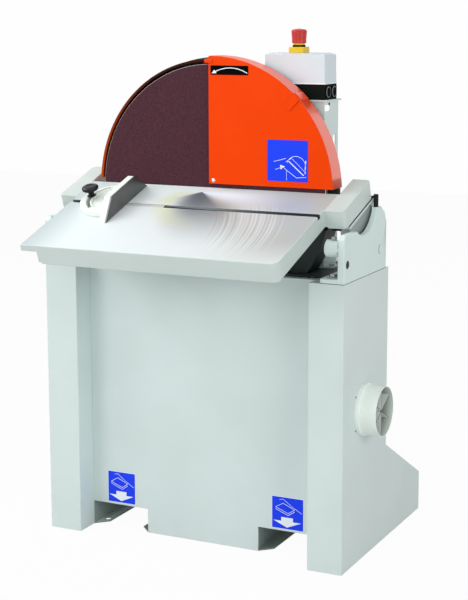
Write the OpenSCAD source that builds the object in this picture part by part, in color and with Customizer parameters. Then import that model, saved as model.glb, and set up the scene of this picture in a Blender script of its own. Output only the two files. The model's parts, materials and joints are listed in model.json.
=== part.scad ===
// Floor-standing disc sander: box-leg cabinet with fork pockets, a tilting cast table on trunnions,
// a direct-driven sanding disc with guard and dust spigot, a mitre gauge and a switch box on a post.
// Millimetres. X points right, Y to the rear, Z up; the floor is at zero, and so is the middle of the
// four anchor holes.

/* [Cabinet] */
// Overall width across the legs
base_w = 800; // [770:5:860]
// Front width of each box leg
leg_w = 88; // [76:1:100]
// Height of the legs, up to the trunnion brackets
leg_h = 690; // [660:5:700]
// Depth of each leg above its foot
leg_d = 288; // [280:2:330]
// Overall depth of each leg with its rear foot
foot_l = 544; // [500:4:620]
// Height of the foot at its rear end
foot_h = 102; // [80:2:140]
// Height at which the foot's slope leaves the leg
knee_h = 243; // [200:1:300]
// Sheet thickness of the cabinet
sheet_t = 3; // [2:0.5:4]
// Setback of the front panel behind the legs
panel_set = 66; // [50:1:76]
// Drop of the front panel's top edge below the legs' tops
panel_drop = 5; // [4:1:12]
// Depth of the flange folded back along the front panel's top
panel_lip = 22; // [12:1:30]
// Height of the fork pockets
pocket_h = 62; // [50:1:80]
// Width of the block between the fork pockets
block_w = 308; // [260:2:340]
// Width of the floor flanges in the fork pockets
flange_w = 30; // [24:1:40]
// Distance of the front anchor holes behind the legs' fronts
anchor_front = 110; // [105:1:140]
// Distance between the front and rear anchor holes
anchor_pitch = 340; // [300:2:380]
// Radius of the anchor holes
anchor_r = 7; // [5:0.5:9]

/* [Table] */
// Height of the table's top at the disc, where the tilt axis lies
table_h = 882; // [874:1:890]
// Tilt of the table in the modelled pose, front edge down
table_tilt = 18.8; // [0:0.1:45]
// Length of the table's front part
front_w = 660; // [600:2:664]
// Distance from the disc's face to the table's front edge
table_reach = 361; // [330:1:380]
// Distance from the disc's face to the front of the ears
ear_front = 91; // [86:1:92]
// Distance from the disc's face to the rear of the ears
ear_rear = 83; // [70:1:88]
// Thickness of the ears
ear_t = 46; // [40:1:47]
// Thickness of the table's plate
plate_t = 16; // [14:0.5:20]
// Depth of the side skirts and ribs below the table's top
skirt_d = 43; // [36:1:43]
// Depth of the front skirt below the table's top
apron_d = 47; // [44:1:52]
// Thickness of the skirts and ribs
rib_t = 12; // [8:1:16]
// Overhang of the plate past the skirt at the left end
lip_l = 42; // [30:1:60]
// Gap between the table's edge and the disc
disc_gap = 2.5; // [1.5:0.5:4]
// Distance from the disc's face to the middle of the mitre slot
slot_back = 119.5; // [115:0.5:130]
// Width of the mitre slot
slot_w = 14; // [12:0.5:20]
// Depth of the mitre slot
slot_d = 9.5; // [8:0.5:11]
// Radius of the table's front right corner
corner_r = 22; // [10:1:30]

/* [Trunnions] */
// Thickness of each bracket's outer web
web_t = 16; // [12:1:20]
// Gap between the table's ears and the webs
ear_gap = 2.5; // [1.5:0.5:4]
// Radius of the trunnions about the tilt axis
trunnion_r = 104; // [104:0.5:108]
// Radius of the round cut in the webs
saddle_r = 93; // [90:0.5:95]
// Thickness of each trunnion
trunnion_t = 25; // [20:1:28]
// Thickness of each bracket's base
bracket_base_t = 12; // [10:1:16]
// Depth of each bracket from front to rear
bracket_d = 268; // [255:1:275]
// Height of the web's front top above the legs
web_front_h = 113; // [100:1:118]
// Height of the rear horn above the legs
horn_h = 154; // [150:1:156]
// Diameter of the tilt lock knobs
lock_knob_d = 12; // [12:1:18]
// Height of the tilt lock knobs
lock_knob_h = 30; // [24:1:40]

/* [Disc and motor] */
// Distance from the legs' fronts to the disc's sanding face
face_set = 128; // [124:1:134]
// Radius of the sanding disc
disc_r = 300; // [290:1:302]
// Thickness of the disc's metal plate
disc_t = 12; // [8:1:14]
// Thickness of the abrasive sheet
grit_t = 1.5; // [1:0.1:2.5]
// Drop of the disc's centre below the table's top
disc_drop = 4; // [0:0.5:10]
// Thickness of the upright motor plate
motor_plate_t = 12; // [8:1:16]
// Radius of the motor shaft
shaft_r = 14; // [12:0.5:16]
// Radius of the motor's flange
flange_r = 125; // [124:1:130]
// Radius of the motor's housing without its fins
housing_r = 98; // [94:1:99]
// Length of the motor's housing
housing_l = 230; // [220:2:250]
// Height of the cooling fins
fin_h = 10; // [6:0.5:12]
// Number of cooling fins
fin_n = 32; // [16:4:48]
// Length of the fan cowl
cowl_l = 66; // [60:1:80]

/* [Guard] */
// Gap between the disc's rim and the guard ring
rim_gap = 6; // [4:0.5:8]
// Width of the guard ring's front lip
rim_lip = 6; // [4:0.5:9]
// Depth of the guard behind the disc's face
guard_d = 41; // [38:1:48]
// Sheet thickness of the guard
guard_t = 2; // [1.5:0.5:3]
// Gap between the disc's face and the half cover
cover_gap = 4; // [3:0.5:6]
// Height of the cover's and the ring's lower edges above the table's top
cover_lift = 8.5; // [6:0.5:20]
// Distance that the half cover reaches past the middle
cover_past = 4; // [0:1:10]
// Gap between the disc's face and the dust hood's front wall
hood_gap = 12; // [10:0.5:14]
// Height of the dust hood's top above the legs
hood_h = 106; // [90:1:110]

/* [Dust outlet] */
// Outer radius of the dust spigot
spigot_r = 60; // [50:1:62]
// Length of the spigot outside the leg
spigot_l = 52; // [40:1:80]
// Height of the spigot's axis
spigot_z = 370; // [340:1:420]
// Wall thickness of the spigot
spigot_t = 2; // [1.5:0.5:3]
// Distance of the spigot's axis behind the disc's face
spigot_back = 6; // [5:0.5:12]

/* [Switch] */
// Width of the switch box
box_w = 158; // [140:1:164]
// Depth of the switch box
box_d = 74; // [66:1:80]
// Height of the box's black base
box_base_h = 37; // [30:1:45]
// Height of the box's grey cover
box_cover_h = 73; // [60:1:80]
// Height of the shelf under the box
shelf_z = 1090; // [1060:1:1110]
// Distance from the middle to the post's right face
post_x = 267; // [262:1:276]
// Width of the post
post_w = 80; // [70:1:90]
// Depth of the post
post_d = 86; // [80:1:88]
// Diameter of the emergency stop's head
stop_d = 38; // [34:1:44]
// Travel of the emergency stop
stop_travel = 3; // [3:0.5:5]

/* [Mitre gauge] */
// Length of the bar in the table's slot
bar_l = 220; // [200:2:260]
// Place of the bar's right end, left of the table's middle
bar_end = 70; // [40:1:100]
// Place of the fence's face, left of the table's middle
fence_x = 172; // [150:1:180]
// Length of the fence along the table
fence_l = 212; // [190:1:213]
// Height of the fence
fence_h = 47; // [40:1:60]
// Distance from the fence's face back to the swing pivot
pivot_back = 24; // [22:0.5:26]
// Distance from the swing pivot to the clamp knob
knob_r = 72; // [68:0.5:76]
// Diameter of the clamp knob
knob_d = 41; // [34:1:44]
// Swing of the gauge to each side, in degrees
swing = 45; // [30:1:50]

/* [Hidden] */
$fn = 96;
// Overrun of every cut past the face that it opens
over = 2;
// Clearance between pieces of different bodies
gap = 0.3;
// Radial play of a running shaft or pin
run = 0.05;
// Gap between two fitted pieces of the same body
fit = 0.2;

// Places shared by the whole machine
y_front = -(anchor_front + anchor_pitch / 2);
y_face = y_front + face_set;
y_plate = y_face + guard_d;
y_dust = y_face + spigot_back;
y_motor = y_plate + motor_plate_t;
y_panel = y_front + panel_set;
y_rear = y_front + leg_d;
z_disc = table_h - disc_drop;
leg_in = base_w / 2 - leg_w;
web_in = base_w / 2 - web_t;
ear_out = web_in - ear_gap;

// Guard radii, from the disc outwards
rim_in = disc_r + rim_gap;
rim_r = rim_in + rim_lip;
// Radial margin of the motor plate outside the guard ring
plate_margin = 4;
plate_r = rim_r + plate_margin;
// Radial fit of the cover's band over the motor plate
band_fit = 1;
band_in = plate_r + band_fit;
// Sheet thickness of the cover's band
band_t = 3;
cover_r = band_in + band_t;
// Side room between the cover and the table's ears
ear_room = 16;
ear_in = cover_r + ear_room;
z_guard = table_h + cover_lift;
z_hood = leg_h + hood_h;

// Bracket sizes
// Width of the bracket's base
bracket_w = 60;
// Width of the shoe that carries the trunnion
shoe_w = 32;
// Reach of the shoe in front of the tilt axis
shoe_front = 7;
// Angle of the shoe's rear end behind the tilt axis
shoe_angle = 48;
// Radius of the boss at the bracket's front
boss_r = 20;
// Height of that boss above the legs
boss_z = 80;
// Length of that boss
boss_l = 35;
// Slope and rounding of the rear horn's top
horn_top = 34;
horn_fall = 18;
// Start of the web behind the legs' fronts
web_start = 10;
// Radius and place of the web's side hole
hole_r = 9;
hole_y = 22;
hole_z = 44;
// Radius, height and place of the raised ring on the web
ring_r = 11;
ring_h = 1;
ring_y = 229;
ring_z = 51;
// Sizes of the bracket bolts
bolt_r = 6;
bolt_head_r = 10.4;
bolt_head_h = 8;
bolt_under = 24;
nut_h = 10;
// Places of the bracket bolts behind the legs' fronts, and from the base's inner edge
bolt_front = 30;
bolt_rear = 246;
bolt_in = 22;
// Sizes of the stop screws
stop_screw_r = 4;
stop_head_r = 7.5;
stop_head_h = 7;
stop_screw_l = 20;
// Sizes of the rubber pads under the ears
pad_t = 4.5;
pad_l = 15;
pad_w = 22;
// Place of the lock screws: distance behind the tilt axis and below it
lock_back = 89;
lock_drop = 49;
lock_pad_r = 2.5;
lock_stem_r = 4;
// Depth to which the lock pads sit in the webs
lock_pad_in = 6;
// Slant of the front skirt's left end, as a share of its drop
slant_share = 0.25;
// Trunnion flange under the ear, and its screws
tab_t = 10;
tab_w = 17;
tab_half = 60;
tab_screw_r = 4;
tab_head_r = 6.5;
tab_head_h = 6;
tab_screw_l = 16;
tab_pitch = 80;
// Half length of the trunnion's front part under the ear
trunnion_front = 70;

// Disc, hub and motor sizes
hub_r = 75;
hub_t = 12;
hub_boss_r = 34;
hub_boss_l = 36;
hub_screw_r = 5;
hub_screw_n = 6;
hub_screw_pcd = 56;
hub_head_r = 8;
hub_head_h = 7;
hub_play = 3;
// Depth of the hub screws in the disc's plate
hub_screw_in = 9;
plate_bore_r = 80;
bearing_r = 31;
bearing_w = 16;
bearing_back = 8;
// Length of the shaft's seat inside the disc hub
shaft_in = 30;
front_shield_t = 14;
shield_wall = 10;
rear_shield_t = 24;
housing_wall = 6;
// Thickness of the cooling fins, and their start behind the flange's nuts
fin_t = 3;
fin_start = 12;
// Air gap between the rotor and the stator
air_gap = 0.4;
rotor_r = 55;
rotor_l = 120;
stator_l = 136;
stator_r = housing_r - housing_wall - fit;
winding_l = 26;
winding_wall = 22;
fan_r = 84;
fan_t = 22;
fan_hub_r = 24;
fan_hub_l = 26;
blade_t = 4;
blade_n = 6;
cowl_wall = 2;
cowl_hole_r = 5;
cowl_rings = 4;
// Length of the cowl's overlap on the housing
cowl_lap = 14;
term_w = 110;
term_l = 104;
term_h = 44;
term_gland_r = 11;
term_gland_l = 14;
// Sizes of the motor's flange bolts, and their distance from the flange's edge
motor_bolt_r = 7;
motor_bolt_edge = 13;
motor_bolt_turn = 45;
motor_bolt_head_r = 11;
motor_bolt_head_h = 9;
motor_bolt_n = 4;
motor_bolt_pcd = flange_r - motor_bolt_edge;
gusset_t = 8;
gusset_l = 96;
gusset_h = 150;
gusset_x = 148;
gusset_foot_w = 34;
// Bolts that hold the gussets and the post on the top plate
foot_bolt_r = 4;
foot_head_r = 6.5;
foot_head_h = 5;
foot_bolt_l = 20;

// Hood, duct and spigot sizes
hood_t = 2;
hood_r = band_in + hood_t;
duct_w = 150;
duct_d = 2 * (spigot_r + fit + hood_t);
duct_side = 3;
duct_h = 190;
neck_w = 80;
neck_d = 56;
neck_side = 6;
spigot_flange_r = 63;
spigot_flange_t = 10;
spoke_t = 2;
spoke_n = 3;
spoke_in = 10;
spoke_back = 8;
hood_slot_room = 4;

// Cover details
rivet_r = 5;
rivet_h = 2;
rivet_shank_r = 2;
rivet_x = 8;
rivet_z = 8;
clip_w = 20;
clip_h = 9;
clip_t = 3;
// Strap over the cover's band: its place round the disc, thickness and length
strap_angle = 45;
strap_t = 5;
strap_l = 46;

// Switch details
post_set = 69;
post_t = 2.5;
post_foot = 26;
post_foot_t = 4;
// Places of the post's bolts, as shares of its depth
post_bolt_shares = [0.25, 0.75];
shelf_t = 4;
shelf_side = 6;
wall_t = 3;
// Round-ended notch in the post's right side: length, half height and drop below the shelf
notch_l = 36;
notch_r = 7.4;
notch_low = 8;
slit_w = 16;
slit_h = 24;
slit_z = 106;
slit_back = 16;
gland_r = 13;
gland_rim = 3;
gland_l = 3;
gland_pitch = 36;
gland_back = 1;
stop_base_w = 38;
stop_base_h = 14;
stop_ring_r = 15.6;
stop_ring_h = 4.5;
stop_neck_r = 14;
stop_stem_r = 6;
stop_stem_in = 36;
stop_head_all = 35;
stop_head_rim = 10;
// Flare of the stop's head, rounding of its edge and height of its crown
stop_flare = 1.5;
stop_edge = 3;
stop_crown = 2.5;
stop_room = 1.2;
// Depth of the socket for the stem in the stop's head
stop_socket = 6;
stop_x = 75;
contact_w = 34;
contact_d = 30;

// Mitre gauge details
bar_play = 0.3;
bar_sink = 0.4;
head_t = 13;
head_lift = 0.4;
head_r = 78;
// Distance from the swing pivot back to the middle of the head's round
head_back = 17;
fence_t = 4;
fence_back_t = 16;
pivot_r = 5;
pivot_h = 9;
stud_r = 4;
slot_play = 0.6;
arc_margin = 5;
arc_rib_w = 5;
arc_rib_h = 3;
knob_stem_r = 7;
knob_stem_h = 12;
knob_h = 15;
knob_lift = 0.6;
knob_edge = 4;
knob_top_r = 14;
washer_r = 11;
washer_t = 2;
fence_screw_r = 3;
fence_screw_in = 10;
fence_screw_pitch = 70;
fence_screw_h = 20;
// Metal left in front of the screws' blind holes
fence_skin = 1;

// Louvres in the rear panel
louvre_w = 150;
louvre_h = 8;
louvre_pitch = 26;
louvre_n = 7;
louvre_z = 330;

// Slope of the foot's top, in height per depth
foot_slope_share = (foot_h - knee_h) / (foot_l - leg_d);
foot_wall_share = sqrt(1 + foot_slope_share * foot_slope_share);

// Height of the foot's top at a depth, set in from the outside by a wall
function foot_z(y, wall) = knee_h + foot_slope_share * (y - leg_d) - wall * foot_wall_share;

// Flat outline (y, z) drawn out along X
module along_x(x, l) {
  translate([x, 0, 0]) rotate([90, 0, 90]) linear_extrude(l) children();
}

// Flat outline (x, z) drawn out along Y
module along_y(y, l) {
  translate([0, y + l, 0]) rotate([90, 0, 0]) linear_extrude(l) children();
}

// Round bar along X from x
module rod_x(x, y, z, l, r) {
  translate([x, y, z]) rotate([0, 90, 0]) cylinder(h = l, r = r);
}

// Round bar along Y from y, on the axis (x, z)
module rod_y(x, y, z, l, r) {
  translate([x, y, z]) rotate([-90, 0, 0]) cylinder(h = l, r = r);
}

// Round bar along Z
module rod_z(x, y, z, l, r) {
  translate([x, y, z]) cylinder(h = l, r = r);
}

// Bar along the disc's axis
module turned(y, l, r) {
  rod_y(0, y, z_disc, l, r);
}

// Block from its lowest and highest corners
module block(low, high) {
  translate(low) cube(high - low);
}

// Puts a piece drawn in the table's own frame into place: the origin there is on the tilt axis,
// at the disc's face, with Y to the rear along the table's top
module on_table() {
  translate([0, y_face, table_h]) rotate([table_tilt, 0, 0]) children();
}

// Mirror image for the left side
module left() {
  mirror([1, 0, 0]) children();
}

// Outline of a leg with its rear foot, set in by a wall
module leg_outline(wall) {
  translate([y_front, 0])
    polygon([
      [wall, wall], [foot_l - wall, wall], [foot_l - wall, foot_z(foot_l - wall, wall)],
      [leg_d - wall, foot_z(leg_d - wall, wall)], [leg_d - wall, leg_h - wall], [wall, leg_h - wall]
    ]);
}

// Floor flange along a pocket wall at x, towards side, with its front corner cut at 45 degrees
module floor_flange(x, side, y_end) {
  linear_extrude(sheet_t)
    polygon([
      [x, y_panel], [x + side * flange_w, y_panel + flange_w], [x + side * flange_w, y_end], [x, y_end]
    ]);
}

// Holes for the two bracket bolts in the top of a leg
module bracket_bolt_places() {
  for (y = [bolt_front, bolt_rear])
    translate([base_w / 2 - bracket_w + bolt_in, y_front + y, leg_h]) children();
}

module side_frame() {
  difference() {
    union() {
      along_x(leg_in, leg_w) leg_outline(0);
      floor_flange(leg_in, -1, y_front + foot_l);
    }
    along_x(leg_in + sheet_t, leg_w - 2 * sheet_t) leg_outline(sheet_t);
    for (y = [anchor_front, anchor_front + anchor_pitch])
      rod_z(leg_in - flange_w / 2, y_front + y, -over, sheet_t + 2 * over, anchor_r);
    bracket_bolt_places() rod_z(0, 0, -sheet_t - over, sheet_t + 2 * over, bolt_r + fit);
  }
}

module side_frame_left() {
  color("gainsboro") left() side_frame();
}

module side_frame_right() {
  color("gainsboro")
    difference() {
      side_frame();
      rod_x(leg_in - over, y_dust, spigot_z, leg_w + 2 * over, spigot_r + fit);
    }
}

module front_panel() {
  color("lightgray") {
    along_y(y_panel, sheet_t)
      polygon([
        [-leg_in, pocket_h], [-block_w / 2, pocket_h], [-block_w / 2, 0], [block_w / 2, 0],
        [block_w / 2, pocket_h], [leg_in, pocket_h], [leg_in, leg_h - panel_drop],
        [-leg_in, leg_h - panel_drop]
      ]);
    block(
      [-leg_in, y_panel, leg_h - panel_drop - sheet_t],
      [leg_in, y_panel + panel_lip, leg_h - panel_drop]
    );
  }
}

module pocket_wall() {
  block([block_w / 2 - sheet_t, y_panel + sheet_t, 0], [block_w / 2, y_rear - sheet_t, pocket_h]);
  floor_flange(block_w / 2, 1, y_rear - sheet_t);
}

module pocket_walls() {
  color("lightgray") {
    pocket_wall();
    left() pocket_wall();
  }
}

module floor_pan() {
  color("darkgray")
    block([-leg_in, y_panel + sheet_t, pocket_h], [leg_in, y_rear - sheet_t, pocket_h + sheet_t]);
}

module rear_panel() {
  color("lightgray")
    difference() {
      block([-leg_in, y_rear - sheet_t, pocket_h], [leg_in, y_rear, leg_h - sheet_t]);
      for (i = [0 : louvre_n - 1])
        for (side = [-1, 1])
          translate([side * leg_in / 2 - louvre_w / 2, y_rear - sheet_t - over, louvre_z + i * louvre_pitch])
            cube([louvre_w, sheet_t + 2 * over, louvre_h]);
    }
}

module top_plate() {
  slot_half = sqrt(hood_r * hood_r - (z_disc - leg_h) * (z_disc - leg_h)) + hood_slot_room;
  color("darkgray")
    difference() {
      block([-leg_in, y_panel + panel_lip, leg_h - sheet_t], [leg_in, y_rear, leg_h]);
      block(
        [-slot_half, y_face - hood_gap - hood_t - hood_slot_room, leg_h - sheet_t - over],
        [slot_half, y_motor + hood_slot_room, leg_h + over]
      );
      post_bolt_places() rod_z(0, 0, -sheet_t - over, sheet_t + 2 * over, foot_bolt_r + fit);
      gusset_bolt_places() rod_z(0, 0, -sheet_t - over, sheet_t + 2 * over, foot_bolt_r + fit);
    }
}

// Web outline of a bracket (y, z), measured from the leg's front and top
module web_outline() {
  translate([y_front, leg_h])
    polygon([
      [0, 0], [bracket_d, 0], [bracket_d, horn_h - 2 * horn_fall],
      [bracket_d - horn_fall / 2, horn_h - horn_fall], [bracket_d - horn_top, horn_h], [face_set, horn_h],
      [face_set, web_front_h], [web_start, web_front_h], [0, web_front_h - web_start]
    ]);
}

module bracket() {
  shoe_rear = trunnion_r * sin(shoe_angle);
  shoe_top = table_h - trunnion_r * cos(shoe_angle);
  difference() {
    union() {
      along_x(web_in, web_t) web_outline();
      block(
        [base_w / 2 - bracket_w, y_front, leg_h],
        [base_w / 2, y_front + bracket_d, leg_h + bracket_base_t]
      );
      block([web_in - shoe_w, y_face - shoe_front, leg_h], [web_in, y_face + shoe_rear, shoe_top]);
      rod_x(web_in - boss_l, y_front + boss_r, leg_h + boss_z, boss_l, boss_r);
      rod_x(base_w / 2, y_front + ring_y, leg_h + ring_z, ring_h, ring_r);
    }
    rod_x(web_in, y_face, table_h, web_t + over, saddle_r);
    rod_x(web_in - shoe_w - over, y_face, table_h, shoe_w + over, trunnion_r + gap);
    rod_x(web_in - over, y_front + hole_y, leg_h + hole_z, web_t + 2 * over, hole_r);
    bracket_bolt_places() rod_z(0, 0, -over, bracket_base_t + 2 * over, bolt_r + fit);
    rod_z(web_in - boss_l / 2, y_front + boss_r, leg_h + boss_z, boss_r + over, stop_screw_r + fit);
    rod_x(web_in - over, y_face + lock_back, table_h - lock_drop, lock_pad_in + over, lock_pad_r + fit);
    rod_z(
      web_in + web_t / 2, y_face + lock_back, table_h - lock_drop - lock_stem_r,
      horn_h, lock_stem_r + run
    );
  }
}

module bracket_left() {
  color("silver") left() bracket();
}

module bracket_right() {
  color("silver") bracket();
}

module bracket_bolts() {
  color("dimgray")
    for (side = [0, 1])
      mirror([side, 0, 0])
        bracket_bolt_places() {
          rod_z(0, 0, -bolt_under, bolt_under + bracket_base_t + bolt_head_h, bolt_r);
          translate([0, 0, bracket_base_t]) cylinder(h = bolt_head_h, r = bolt_head_r, $fn = 6);
          translate([0, 0, -sheet_t - nut_h]) cylinder(h = nut_h, r = bolt_head_r, $fn = 6);
        }
}

module stop_screws() {
  color("dimgray")
    for (side = [0, 1])
      mirror([side, 0, 0])
        translate([web_in - boss_l / 2, y_front + boss_r, leg_h + boss_z + boss_r]) {
          rod_z(0, 0, -stop_screw_l, stop_screw_l, stop_screw_r);
          cylinder(h = stop_head_h, r = stop_head_r, $fn = 6);
        }
}

module lock_pads() {
  color("goldenrod")
    for (side = [0, 1])
      mirror([side, 0, 0])
        rod_x(
          web_in - ear_gap + gap, y_face + lock_back, table_h - lock_drop,
          lock_pad_in + ear_gap - gap, lock_pad_r
        );
}

// Vertical lock screw whose point pushes the brass pad against the trunnion
module lock_knob() {
  z_point = table_h - lock_drop + lock_pad_r + gap;
  translate([web_in + web_t / 2, y_face + lock_back, 0]) {
    rod_z(0, 0, z_point, leg_h + horn_h + gap - z_point, lock_stem_r);
    rod_z(0, 0, leg_h + horn_h + gap, lock_knob_h, lock_knob_d / 2);
  }
}

module lock_knob_left() {
  color("dimgray") left() lock_knob();
}

module lock_knob_right() {
  color("dimgray") lock_knob();
}

// Outline of the table's plate, seen from above
module table_outline() {
  difference() {
    union() {
      translate([-front_w / 2, -table_reach]) square([front_w, table_reach - disc_gap]);
      for (side = [0, 1])
        mirror([side, 0]) translate([front_w / 2 - over, -ear_front])
          square([ear_out - front_w / 2 + over, ear_front + ear_rear]);
    }
    translate([-ear_in, -disc_gap]) square([2 * ear_in, ear_rear + disc_gap + over]);
    corner_cut();
  }
}

// What the rounding takes off the front right corner
module corner_cut() {
  translate([front_w / 2 - corner_r, -table_reach])
    difference() {
      translate([0, -over]) square([corner_r + over, corner_r + over]);
      translate([0, corner_r]) circle(r = corner_r);
    }
}

// Skirt with one slanted end on the left
module apron() {
  left_end = -front_w / 2 + lip_l;
  slant = slant_share * (apron_d - plate_t);
  translate([0, rib_t - table_reach, 0]) rotate([90, 0, 0])
    linear_extrude(rib_t)
      polygon([
        [left_end, 0], [left_end, -plate_t], [left_end + slant, -apron_d], [front_w / 2, -apron_d],
        [front_w / 2, 0]
      ]);
}

// Rib along the table's depth at x
module side_rib(x, d) {
  block([x, -table_reach, -d], [x + rib_t, -disc_gap - apron_d, 0]);
}

module table() {
  color("silver")
    on_table()
      difference() {
        union() {
          translate([0, 0, -plate_t]) linear_extrude(plate_t) table_outline();
          for (side = [0, 1])
            mirror([side, 0, 0])
              difference() {
                block([ear_in, -ear_front, -ear_t], [ear_out, ear_rear, 0]);
                for (y = [-tab_pitch / 2, tab_pitch / 2])
                  rod_z(
                    ear_in + tab_w / 2, y, -ear_t - over, tab_screw_l - tab_t + over, tab_screw_r + fit
                  );
              }
          apron();
          side_rib(front_w / 2 - rib_t, skirt_d);
          side_rib(-front_w / 2 + lip_l, skirt_d);
          side_rib(-rib_t / 2, skirt_d);
          block(
            [-ear_in, -ear_front, -skirt_d], [ear_in, -ear_front + rib_t, 0]
          );
          block(
            [-front_w / 2 + lip_l, -table_reach / 2 - ear_front / 2 - rib_t, -skirt_d],
            [front_w / 2, -table_reach / 2 - ear_front / 2, 0]
          );
        }
        block([-base_w, -slot_back - slot_w / 2, -slot_d], [base_w, -slot_back + slot_w / 2, over]);
        translate([-ear_in, -disc_gap, 0]) rotate([-45, 0, 0]) translate([0, 0, -plate_t - apron_d])
          cube([2 * ear_in, apron_d + plate_t, plate_t + apron_d]);
        translate([0, 0, -apron_d - over]) linear_extrude(apron_d + 2 * over) corner_cut();
      }
}

// Half-moon under an ear that turns in the bracket's shoe
module trunnion() {
  on_table()
    difference() {
      union() {
        intersection() {
          rod_x(ear_out - trunnion_t, 0, 0, trunnion_t, trunnion_r);
          block(
            [ear_out - trunnion_t, -trunnion_front, -trunnion_r - over], [ear_out, trunnion_r + over, -ear_t]
          );
        }
        block([ear_in, -tab_half, -ear_t - tab_t], [ear_out - trunnion_t, tab_half, -ear_t]);
      }
      for (y = [-tab_pitch / 2, tab_pitch / 2])
        rod_z(ear_in + tab_w / 2, y, -ear_t - tab_t - over, tab_t + 2 * over, tab_screw_r + fit);
    }
}

module trunnion_left() {
  color("gray") left() trunnion();
}

module trunnion_right() {
  color("gray") trunnion();
}

module trunnion_screws() {
  color("dimgray")
    on_table()
      for (side = [0, 1])
        mirror([side, 0, 0])
          for (y = [-tab_pitch / 2, tab_pitch / 2])
            translate([ear_in + tab_w / 2, y, -ear_t - tab_t]) {
              cylinder(h = tab_screw_l, r = tab_screw_r);
              translate([0, 0, -tab_head_h]) cylinder(h = tab_head_h, r = tab_head_r);
            }
}

module ear_pads() {
  color("black")
    on_table()
      for (side = [0, 1])
        mirror([side, 0, 0])
          block(
            [ear_out - trunnion_t - pad_w / 2, -ear_front, -ear_t - pad_t],
            [ear_out - trunnion_t + pad_w / 2, -ear_front + pad_l, -ear_t]
          );
}

// Even places on a circle round the disc's axis
module disc_places(n, r, turn) {
  for (i = [0 : n - 1])
    let (a = turn + i * 360 / n)
      translate([r * cos(a), 0, z_disc + r * sin(a)]) children();
}

module abrasive_sheet() {
  color("saddlebrown") turned(y_face, grit_t, disc_r);
}

module disc_plate() {
  color("darkgray")
    difference() {
      turned(y_face + grit_t, disc_t, disc_r);
      disc_places(hub_screw_n, hub_screw_pcd, 0)
        rod_y(0, y_face + grit_t + disc_t - hub_screw_in, 0, hub_screw_in + over, hub_screw_r + fit);
    }
}

// Back of the disc's plate, where the hub sits
y_hub = y_face + grit_t + disc_t;

module disc_hub() {
  color("gray")
    difference() {
      union() {
        turned(y_hub, hub_t, hub_r);
        turned(y_hub, hub_boss_l, hub_boss_r);
      }
      turned(y_hub + hub_boss_l - shaft_in, shaft_in + over, shaft_r);
      disc_places(hub_screw_n, hub_screw_pcd, 0)
        rod_y(0, y_hub - over, 0, hub_t + 2 * over, hub_screw_r + fit);
    }
}

module hub_screws() {
  color("dimgray")
    disc_places(hub_screw_n, hub_screw_pcd, 0) {
      rod_y(0, y_hub - hub_screw_in, 0, hub_screw_in + hub_t, hub_screw_r);
      rod_y(0, y_hub + hub_t, 0, hub_head_h, hub_head_r);
    }
}

// Motor places along the axis
y_housing = y_motor + front_shield_t;
y_rear_shield = y_housing + housing_l;
y_shield_end = y_rear_shield + rear_shield_t;
y_fan = y_shield_end + gap + hub_play;
y_core = y_housing + housing_l / 2;

module motor_shaft() {
  y_shaft = y_hub + hub_boss_l - shaft_in;
  color("lightgray") turned(y_shaft, y_fan + fan_hub_l - y_shaft, shaft_r);
}

module rotor() {
  color("dimgray")
    difference() {
      turned(y_core - rotor_l / 2, rotor_l, rotor_r);
      turned(y_core - rotor_l / 2 - over, rotor_l + 2 * over, shaft_r);
    }
}

module motor_fan() {
  color("black")
    difference() {
      union() {
        turned(y_fan, fan_hub_l, fan_hub_r);
        intersection() {
          turned(y_fan, fan_t, fan_r);
          for (i = [0 : blade_n - 1])
            translate([0, y_fan, z_disc]) rotate([0, i * 360 / blade_n, 0])
              translate([0, 0, -blade_t / 2]) cube([fan_r, fan_t, blade_t]);
        }
      }
      turned(y_fan - over, fan_hub_l + 2 * over, shaft_r);
    }
}

module bearings() {
  color("lightgray")
    for (y = [y_motor + bearing_back, y_rear_shield + bearing_back])
      difference() {
        turned(y, bearing_w, bearing_r);
        turned(y - over, bearing_w + 2 * over, shaft_r + run);
      }
}

module front_shield() {
  color("slategray")
    difference() {
      union() {
        turned(y_motor, front_shield_t, flange_r);
        turned(y_motor, bearing_back + bearing_w + shield_wall, bearing_r + shield_wall);
      }
      turned(y_motor - over, bearing_back + bearing_w + over, bearing_r);
      turned(y_motor, bearing_back + bearing_w + shield_wall + over, shaft_r + hub_play);
      disc_places(motor_bolt_n, motor_bolt_pcd, motor_bolt_turn)
        rod_y(0, y_motor - over, 0, front_shield_t + 2 * over, motor_bolt_r + fit);
    }
}

module motor_housing() {
  color("slategray")
    difference() {
      union() {
        turned(y_housing, housing_l, housing_r);
        difference() {
          for (i = [0 : fin_n - 1])
            translate([0, y_housing, z_disc]) rotate([0, i * 360 / fin_n, 0])
              translate([0, fin_start, -fin_t / 2])
                cube([housing_r + fin_h, housing_l - cowl_lap - fin_start, fin_t]);
          block(
            [-term_w / 2, y_core - term_l / 2, z_disc],
            [term_w / 2, y_core + term_l / 2, z_disc + housing_r + term_h]
          );
        }
        block(
          [-term_w / 2, y_core - term_l / 2, z_disc + housing_r * cos(45)],
          [term_w / 2, y_core + term_l / 2, z_disc + housing_r + fin_h]
        );
      }
      turned(y_housing - over, housing_l + 2 * over, housing_r - housing_wall);
    }
}

module stator() {
  wound_l = stator_l + 2 * winding_l;
  y_wound = y_core - wound_l / 2;
  color("peru")
    difference() {
      union() {
        turned(y_core - stator_l / 2, stator_l, stator_r);
        turned(y_wound, wound_l, rotor_r + winding_wall);
      }
      turned(y_wound - over, wound_l + 2 * over, rotor_r + air_gap);
    }
}

module rear_shield() {
  color("slategray")
    difference() {
      turned(y_rear_shield, rear_shield_t, housing_r);
      turned(y_rear_shield - over, bearing_back + bearing_w + over, bearing_r);
      turned(y_rear_shield, rear_shield_t + over, shaft_r + hub_play);
    }
}

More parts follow.
